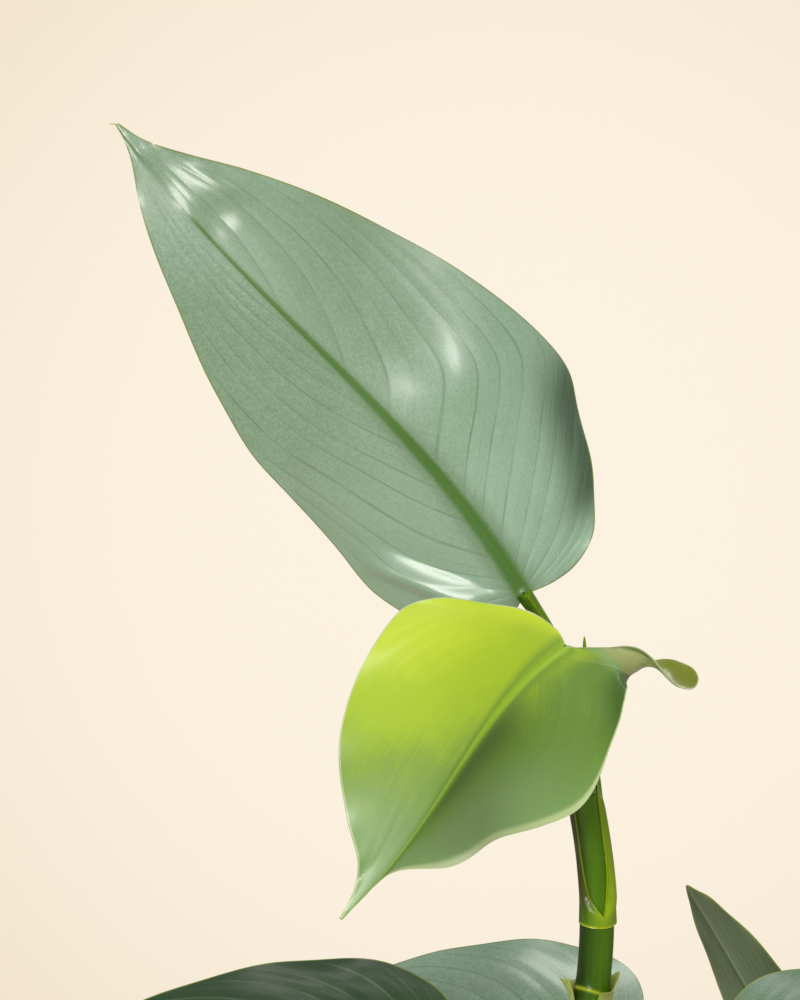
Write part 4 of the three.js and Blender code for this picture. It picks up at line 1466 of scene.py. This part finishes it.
@dataclass
class Pot:
    """A plain tapered stoneware pot with drain holes."""

    height: float = 155
    rim_radius: float = 85
    foot_radius: float = 62
    foot_round: float = 4
    wall: float = 6
    floor: float = 8
    drains: int = 4
    drain_radius: float = 5
    drain_circle: float = 34
    drain_sides: int = 32
    first_drain: float = 45
    hub_radius: float = 20.0
    sides: int = 160
    wall_steps: int = 30
    sharp_angle: float = 40

    def inner_radius(self, z: float) -> float:
        """The radius of the inner wall at a height."""
        return self.foot_radius - self.wall + (self.rim_radius - self.foot_radius) * z / self.height

    def profile(self) -> list[Pair]:
        """Half of the pot's section, from the middle of its underside round the rim to its inside."""
        lean = (self.rim_radius - self.foot_radius) / self.height
        lip = self.wall / 2

        def arc(x: float, z: float, radius: float, start: float, end: float, steps: int) -> list[Pair]:
            """Points on a round edge."""
            angles = [math.radians(start + (end - start) * i / steps) for i in range(steps + 1)]
            return [(x + radius * math.cos(angle), z + radius * math.sin(angle)) for angle in angles]

        foot = arc(self.foot_radius + lean * self.foot_round - self.foot_round, self.foot_round,
                   self.foot_round, -90, -8, 8)
        rim = arc(self.rim_radius - lip, self.height - lip, lip, 0, 180, 14)
        (x0, z0), (x1, z1) = foot[-1], rim[0]
        wall = [(x0 + (x1 - x0) * i / self.wall_steps, z0 + (z1 - z0) * i / self.wall_steps)
                for i in range(1, self.wall_steps)]
        inner_foot = self.inner_radius(self.floor)
        return [(0.0, 0.0), (self.hub_radius, 0.0), *foot, *wall, *rim, (inner_foot + 3, self.floor + 5),
                (inner_foot - 3, self.floor), (self.hub_radius, self.floor), (0.0, self.floor)]

    def build(self, material: Material) -> Piece:
        """Spins the profile, cuts the drains and makes the pot.

        Args:
            material: the stoneware.

        Returns:
            The piece.
        """
        shell = placed("pot_shell", finished_mesh("pot_shell", spun(self.profile(), self.sides)))
        bm = bmesh.new()
        for k in range(self.drains):
            outward = flat_direction(self.first_drain + 360 * k / self.drains)
            place = outward * self.drain_circle + (0, 0, self.floor / 2)
            bmesh.ops.create_cone(bm, cap_ends=True, segments=self.drain_sides,
                                  radius1=self.drain_radius * MM, radius2=self.drain_radius * MM,
                                  depth=3 * self.floor * MM, matrix=Matrix.Translation(Vector(place) * MM))
        drills = placed("drills", finished_mesh("drills", bm))
        cut = shell.modifiers.new("drains", "BOOLEAN")
        cut.operation = "DIFFERENCE"
        cut.object = drills
        seen = shell.evaluated_get(bpy.context.evaluated_depsgraph_get())
        mesh = bpy.data.meshes.new_from_object(seen)
        mesh.name = "pot_fine"
        for item in (shell, drills):
            bpy.data.objects.remove(item)
        mesh.shade_smooth()
        mesh.set_sharp_from_angle(angle=math.radians(self.sharp_angle))
        return made_object("pot_fine", mesh, material, ("pot",))


@dataclass(frozen=True)
class Litter:
    """One kind of small lumps that lie loose on the soil.

    Sizes are the smallest and the largest radius, and stretch is a lump's shape along its own axes. Detail
    is how often a lump is subdivided, rough is how far its corners move, and sink is how deep it sits, both
    as shares of its radius.
    """

    name: str
    count: int
    sizes: Pair
    stretch: Triple
    detail: int
    rough: float
    sink: float


CRUMBS = Litter("soil_crumbs", 900, sizes=(0.7, 2.2), stretch=(1, 1, 0.8), detail=1, rough=0.35, sink=0.5)
BARK = Litter("bark_chips", 90, sizes=(2.2, 4.6), stretch=(1.2, 0.7, 0.38), detail=2, rough=0.22, sink=0.3)
PERLITE = Litter("perlite", 110, sizes=(0.9, 2.0), stretch=(1, 1, 0.9), detail=2, rough=0.16, sink=0.5)


@dataclass
class Soil:
    """Potting mix: a crumbly body with loose crumbs, bark chips and perlite on top.

    Lumps keep clear of the free circles, which are given by x, y and radius.
    """

    pot: Pot
    free: list[Triple]
    top: float = 138
    relief: float = 2.2
    bevel: float = 6
    gap: float = 0.3
    grain: float = 0.42
    lump_turn: float = 6.28
    lump_tilt: float = 0.35
    rim_room: float = 1.0
    seed: int = 7
    rings: int = 100
    sides: int = 200

    def height(self, x: Array, y: Array) -> Array:
        """The height of the soil's broad lumps."""
        broad = np.sin(0.11 * x + 0.6) * np.cos(0.13 * y - 0.4)
        lumps = np.sin(0.31 * x - 0.2 * y) * np.sin(0.27 * y + 0.9)
        return self.top + self.relief * (0.6 * broad + 0.4 * lumps)

    def edge(self) -> float:
        """The soil's radius at its top."""
        return self.pot.inner_radius(self.top) - self.gap - 0.4

    def build_body(self, material: Material) -> Piece:
        """Spins a profile and roughens its top.

        Args:
            material: the soil's finish.

        Returns:
            The piece.
        """
        bottom = self.pot.floor + self.gap
        edge = self.edge()
        profile = [(0, bottom), (self.pot.inner_radius(bottom) - self.bevel - self.gap, bottom),
                   (self.pot.inner_radius(bottom + self.bevel) - self.gap - 0.6, bottom + self.bevel),
                   (edge, self.top - 2)]
        profile += [(edge * (1 - i / self.rings), self.top) for i in range(self.rings + 1)]
        mesh = finished_mesh("soil_fine", spun(profile, self.sides))
        places = vertex_places(mesh) / MM
        loose = places[:, 2] > self.top - 1
        places[loose, 2] = self.height(places[loose, 0], places[loose, 1])
        for i in np.flatnonzero(loose):
            spot = Vector(places[i]) * self.grain
            places[i, 2] += 1.1 * noise.noise(spot) + 0.6 * noise.noise(spot * 2.7)
        set_places(mesh, places)
        return made_object("soil_fine", mesh, material, ("soil",))

    def strew(self, litter: Litter, material: Material) -> Piece:
        """Scatters small lumps over the soil as one piece.

        Args:
            litter: the lumps.
            material: their finish.

        Returns:
            The piece.
        """
        draw = random.Random(f"{litter.name}{self.seed}")
        widest, lowest = max(litter.stretch), min(litter.stretch)
        bm = bmesh.new()
        laid = 0
        while laid < litter.count:
            radius = draw.uniform(*litter.sizes)
            distance = (self.edge() - radius - self.rim_room) * math.sqrt(draw.random())
            turn = draw.uniform(0, 2 * math.pi)
            x, y = distance * math.cos(turn), distance * math.sin(turn)
            spin = Matrix.Rotation(draw.uniform(0, self.lump_turn), 4, "Z")
            spin = spin @ Matrix.Rotation(draw.gauss(0, self.lump_tilt), 4, "X")
            if any(math.hypot(x - sx, y - sy) < sr + radius * widest for sx, sy, sr in self.free):
                continue
            z = float(self.height(np.array(x), np.array(y))) + radius * lowest * (1 - litter.sink)
            move = Matrix.Translation(Vector((x, y, z)) * MM) @ spin @ Matrix.Diagonal((*litter.stretch, 1))
            lump = bmesh.ops.create_icosphere(bm, subdivisions=litter.detail, radius=radius * MM,
                                              matrix=move)
            for vert in lump["verts"]:
                jitter = Vector([draw.uniform(-1, 1) for _ in range(3)])
                vert.co += jitter * litter.rough * radius * MM * lowest
            laid += 1
        return made_object(litter.name, finished_mesh(litter.name, bm, False), material)


# The room


@dataclass(frozen=True)
class Lamp:
    """A soft light: its place, the point that it faces and its width, in metres, and its power in watts.

    Low is its height, where it isn't square.
    """

    name: str
    place: Triple
    size: float
    watts: float
    low: float | None = None
    aim: Triple = (0.0, 0.0, 0.42)
    colour: Triple = (1.0, 0.97, 0.93)

    def build(self) -> None:
        """Adds the light to the room."""
        light = bpy.data.lights.new(self.name, "AREA")
        light.shape = "RECTANGLE"
        light.size = self.size
        light.size_y = self.low or self.size
        light.energy = self.watts
        light.color = self.colour
        lamp = placed(self.name, light)
        lamp.location = self.place
        lamp.rotation_euler = (Vector(self.aim) - Vector(self.place)).to_track_quat("-Z", "Y").to_euler()


@dataclass
class Studio:
    """A pale floor, plain soft light and the camera, in metres.

    The camera sees a cream backdrop with a soft glow round the middle of the view, and the plant is lit by
    a calmer room that is grey overhead.
    """

    floor_radius: float = 0.95
    floor_colour: Triple = (0.86, 0.76, 0.62)
    floor_weave: Triple = (0.5, 0.42, 0.33)
    glow: Triple = (0.975, 0.885, 0.745)
    glow_edge: Triple = (0.865, 0.745, 0.585)
    glow_axis: float = 0.03
    glow_spread: float = 14.5
    room: Triple = (0.315, 0.30, 0.262)
    overhead: Triple = (0.26, 0.26, 0.25)
    target: Triple = (-0.052, 0.0, 0.430)
    distance: float = 1.1
    elevation: float = 6.0
    lens: float = 120.0
    sensor: float = 36.0
    lamps: tuple[Lamp, ...] = (
        Lamp("key", (-0.66, -1.76, 1.56), 0.5, 3.0),
        Lamp("fill", (0.92, -1.32, 1.95), 0.38, 14.0),
        Lamp("window", (-1.07, -1.77, 0.69), 0.75, 18.0, low=0.3),
        Lamp("front", (-0.33, -2.0, 1.165), 0.42, 14.0),
        Lamp("top", (0.0, 0.3, 2.3), 0.8, 13.0),
        Lamp("rim", (1.3, 1.1, 1.0), 0.7, 6.0),
    )

    def build_floor(self) -> None:
        """Lays a round floor that fades out at its edge."""
        bm = bmesh.new()
        bmesh.ops.create_circle(bm, cap_ends=True, segments=96, radius=self.floor_radius)
        floor = placed("floor", finished_mesh("floor", bm))
        s = Shading("floor_cloth")
        x, y, _ = s.split(s.place)
        away = s.maths("SQRT", s.plus(s.times(x, x), s.times(y, y)))
        fade = s.rise(away, self.floor_radius * 0.5, self.floor_radius * 0.98, 1.0, 0.0)
        weave = s.noise(s.place, 900.0, 2.0)
        colour = s.mix(s.rise(weave, 0.3, 0.7, 0.0, 0.06), self.floor_colour, self.floor_weave)
        s.finish(Base_Color=colour, Roughness=0.9, Alpha=fade, Specular_IOR_Level=0.1)
        floor.data.materials.append(s.material)

    def build_world(self) -> None:
        """Gives the background its warm cream, and lights the plant from a calmer room."""
        world = bpy.data.worlds.new("cream")
        bpy.context.scene.world = world
        world.use_nodes = True
        s = NodeTree(world.node_tree, "Generated")
        lift = math.radians(self.elevation)
        axis = Vector((self.glow_axis, math.cos(lift), -math.sin(lift)))
        toward = s.node("ShaderNodeVectorMath", operation="DOT_PRODUCT")
        s.put(s.place, toward.inputs[0])
        s.put(tuple(axis.normalized()), toward.inputs[1])
        nearness = s.rise(toward.outputs["Value"], math.cos(math.radians(self.glow_spread)), 1.0)
        backdrop = s.mix(nearness, self.glow_edge, self.glow)
        above = s.rise(s.split(s.place)[2], 0.06, 0.62)
        sky = world.node_tree.nodes["Background"]
        seen = s.node("ShaderNodeLightPath").outputs["Is Camera Ray"]
        s.put(s.mix(seen, s.mix(above, self.room, self.overhead), backdrop), sky.inputs["Color"])
        s.put(1.0, sky.inputs["Strength"])

    def build_camera(self) -> None:
        """Stands the camera where the photograph was taken from."""
        camera = placed("camera", bpy.data.cameras.new("camera"))
        camera.data.lens = self.lens
        camera.data.sensor_width = self.sensor
        lift = math.radians(self.elevation)
        back = Vector((0.0, -math.cos(lift), math.sin(lift))) * self.distance
        camera.location = Vector(self.target) + back
        camera.rotation_euler = (math.pi / 2 - lift, 0.0, 0.0)
        bpy.context.scene.camera = camera

    def build(self) -> None:
        """Sets up the whole room."""
        self.build_camera()
        self.build_floor()
        self.build_world()
        for lamp in self.lamps:
            lamp.build()
        bpy.context.scene.view_settings.view_transform = "Standard"


# The plant


@dataclass
class Plant:
    """The whole potted plant."""

    stems: dict[str, Stem]
    leaves: list[Leaf]
    collars: list[Collar]
    roots: list[Root]
    pot: Pot = field(default_factory=Pot)
    stem_room: float = 1.0
    root_room: float = 1.5

    def free_spots(self) -> list[Triple]:
        """Circles of the soil that stems and roots stand in: x, y and radius."""
        spots = []
        for stem in self.stems.values():
            curve = stem.curve()
            x, y, _ = curve(np.array([share_at_height(curve, Soil.top)]))[0]
            spots.append((x, y, stem.radius + self.stem_room))
        for root in self.roots:
            x, y, _ = root.path[root.enters]
            spots.append((x, y, root.radius + self.root_room))
        return spots

    def build(self) -> None:
        """Builds every piece, with its finish."""
        stem_skin, stalk_skin = STEM_SKIN.material(), STALK_SKIN.material()
        blade_skin, dusky_skin = BLADE_SKIN.material(), DUSKY_SKIN.material()
        young_skin = YOUNG_SKIN.material()
        husk_skin, root_skin = HUSK_SKIN.material(), ROOT_SKIN.material()
        for stem in self.stems.values():
            stem.build(stem_skin)
        for leaf in self.leaves:
            grown_skin = dusky_skin if leaf.dusky else blade_skin
            leaf.build_blade(young_skin if leaf.young else grown_skin)
            leaf.build_stalk(stalk_skin)
        CrownSheath(self.stems["main"], self.leaves[0]).build(stalk_skin)
        for collar in self.collars:
            collar.build(husk_skin)
        for root in self.roots:
            root.build(root_skin)
        Spear().build(stalk_skin)
        TipThread(self.leaves[0]).build(stalk_skin)
        self.pot.build(POT_SKIN.material())
        soil = Soil(self.pot, self.free_spots())
        soil_skin = SOIL_SKIN.material()
        soil.build_body(soil_skin)
        soil.strew(CRUMBS, soil_skin)
        soil.strew(BARK, BARK_SKIN.material())
        soil.strew(PERLITE, PERLITE_SKIN.material())


def hastatum() -> Plant:
    """The plant's stems, leaves, husks and roots, with the model's sizes.

    Returns:
        The plant, ready to build.
    """
    main = Stem("main", radius=5.75, top_radius=4.3, narrows=(287.4, 291.4), sheathed=285,
                nodes=(152, 166, 182, 204, 234, 264, 285),
                path=((-8, 4, 95), (-6, 3, 140), (0, 1, 185), (7, 0, 232), (12, 0, 262), (13.8, 0, 286),
                      (12.6, -1, 308), (9, -3, 332)))
    right = Stem("right", radius=4.8, top_radius=3.6, narrows=(176, 188), nodes=(150, 162, 174),
                 path=((34, 14, 98), (36, 16, 140), (40, 18, 168), (45, 20, 190)))
    left = Stem("left", radius=4.6, top_radius=3.4, narrows=(156, 168), nodes=(152,),
                path=((-34, 26, 98), (-36, 28, 140), (-38, 30, 156), (-41, 32, 172)))
    blunt = Outline.BLUNT
    leaves = [
        Leaf("crown", main, departs=58, joint=(-11.6, -4, 400), length=203, heading=180, rise=49.4, roll=-80,
             droop=4, node=285, sheath=48, meets=30, leans=-0.03, arrives=0.42, slender_foot=3.1,
             left=Side(Outline.CROWN_LEFT, 1, fold=(-24, -24, -10), curl=(-40, -16, -10)),
             right=Side(Outline.CROWN_RIGHT, 1, fold=(4, 4, 4), curl=(-50, -25, -10)),
             wave=Wave(1.5, 2.6, 0.1), columns=70, rows=300, midrib_width=3.3, pleats=0.3, bow=37,
             swellings=(Strip((5.3, 7.6), (41.5, 33.4), height=3.2, width=7.2),
                        Bulge((65.0, -20.5), radius=15.5, height=2.6)),
             tip_puckers=0.5, margin_shade=0.85, two_tone=0.42),
        Leaf("young", main, departs=250, joint=(0.4, -35, 386), length=132, heading=239, rise=-25, roll=-45,
             droop=18, meets=80, fan=4.5,
             left=Side(Outline.YOUNG_LEFT, 1, fold=(0, -42, -30), curl=(-8, -14, -10)),
             right=Side(Outline.YOUNG_RIGHT, 1.06, fold=(2, 2, 2), curl=(-20, -20, -10)),
             wave=Wave(0.8, 2, 0.3), twist=LobeTwist((-0.656, 0.755), angle=190, start=17, end=46),
             columns=50, rows=260, young=True, midrib_width=2.0, pleats=0.12, bow=30, lip=(4.2, -2.2)),
        Leaf("left", main, departs=215, joint=(-50, -34, 240.2), length=175, heading=190, rise=0, roll=-60,
             droop=46, node=204, left=Side(width=0.8), wave=Wave(1.5, 2, 0), columns=44, rows=170,
             shade=1.0),
        Leaf("rear", main, departs=70, joint=(16, 64, 224), length=168, heading=172, rise=0, roll=-56,
             droop=34, node=182, wave=Wave(1.5, 2, 0.5), columns=44, rows=170, shade=0.12),
        Leaf("upright", right, departs=10, joint=(113, 24, 169), length=140, heading=140, rise=60, roll=100,
             droop=20, node=150, meets=50, left=Side(blunt, 0.66), right=Side(blunt, 0.44),
             wave=Wave(1.2, 2, 0.2), shade=0.5),
        Leaf("right", right, departs=330, joint=(73, -6, 235), length=160, heading=350, rise=0, roll=58,
             droop=34, wave=Wave(1.5, 2, 0.4), columns=44, rows=160, shade=0.5),
        Leaf("front", main, departs=265, joint=(6, -74, 214), length=158, heading=272, rise=-8, roll=6,
             droop=48, node=166, wave=Wave(2, 2.2, 0.7), shade=0.05),
        Leaf("front_right", right, departs=300, joint=(64, -66, 186), length=146, heading=316, rise=-12,
             roll=4, droop=46, node=174, wave=Wave(2, 2, 0.35), shade=0.15),
        Leaf("back_right", right, departs=80, joint=(72, 86, 200), length=150, heading=62, rise=-6, roll=5,
             droop=46, node=162, wave=Wave(2, 2.3, 0.15)),
        Leaf("back", main, departs=125, joint=(-30, 100, 182), length=150, heading=112, rise=-8, roll=-5,
             droop=44, node=152, wave=Wave(2, 2.1, 0.6), shade=0.1),
        Leaf("low_left", left, departs=160, joint=(-100, 34, 190), length=140, heading=168, rise=-8, roll=8,
             droop=44, node=152, wave=Wave(2, 2, 0.25), shade=0.18),
        Leaf("front_left", left, departs=225, joint=(-76, -62, 176), length=146, heading=222, rise=-12,
             roll=8, droop=44, wave=Wave(2, 2.2, 0.8)),
    ]
    collars = [Collar("main", main, node=262, height=9, opens=250, gap=70),
               Collar("low", main, node=231, height=14, opens=20, gap=110),
               Collar("right", right, node=176, height=9, opens=200, gap=120)]
    roots = [
        Root("front", 1.7, ((1, -4, 188), (6, -22, 178), (10, -30, 158), (11, -32, 138), (9, -33, 118))),
        Root("side", 1.5, ((-3, 1, 174), (-19, -6, 168), (-27, -10, 152), (-30, -12, 134), (-29, -15, 116))),
        Root("back", 1.4, ((4, 5, 206), (10, 22, 196), (14, 32, 170), (13, 36, 140), (10, 38, 118))),
    ]
    return Plant({"main": main, "right": right, "left": left}, leaves, collars, roots)


def main() -> None:
    """Builds the room and the plant."""
    logging.basicConfig(level=logging.INFO, format="%(name)s %(message)s")
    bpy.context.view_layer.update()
    Studio().build()
    hastatum().build()
    bpy.context.view_layer.update()


if __name__ == "__main__":
    main()
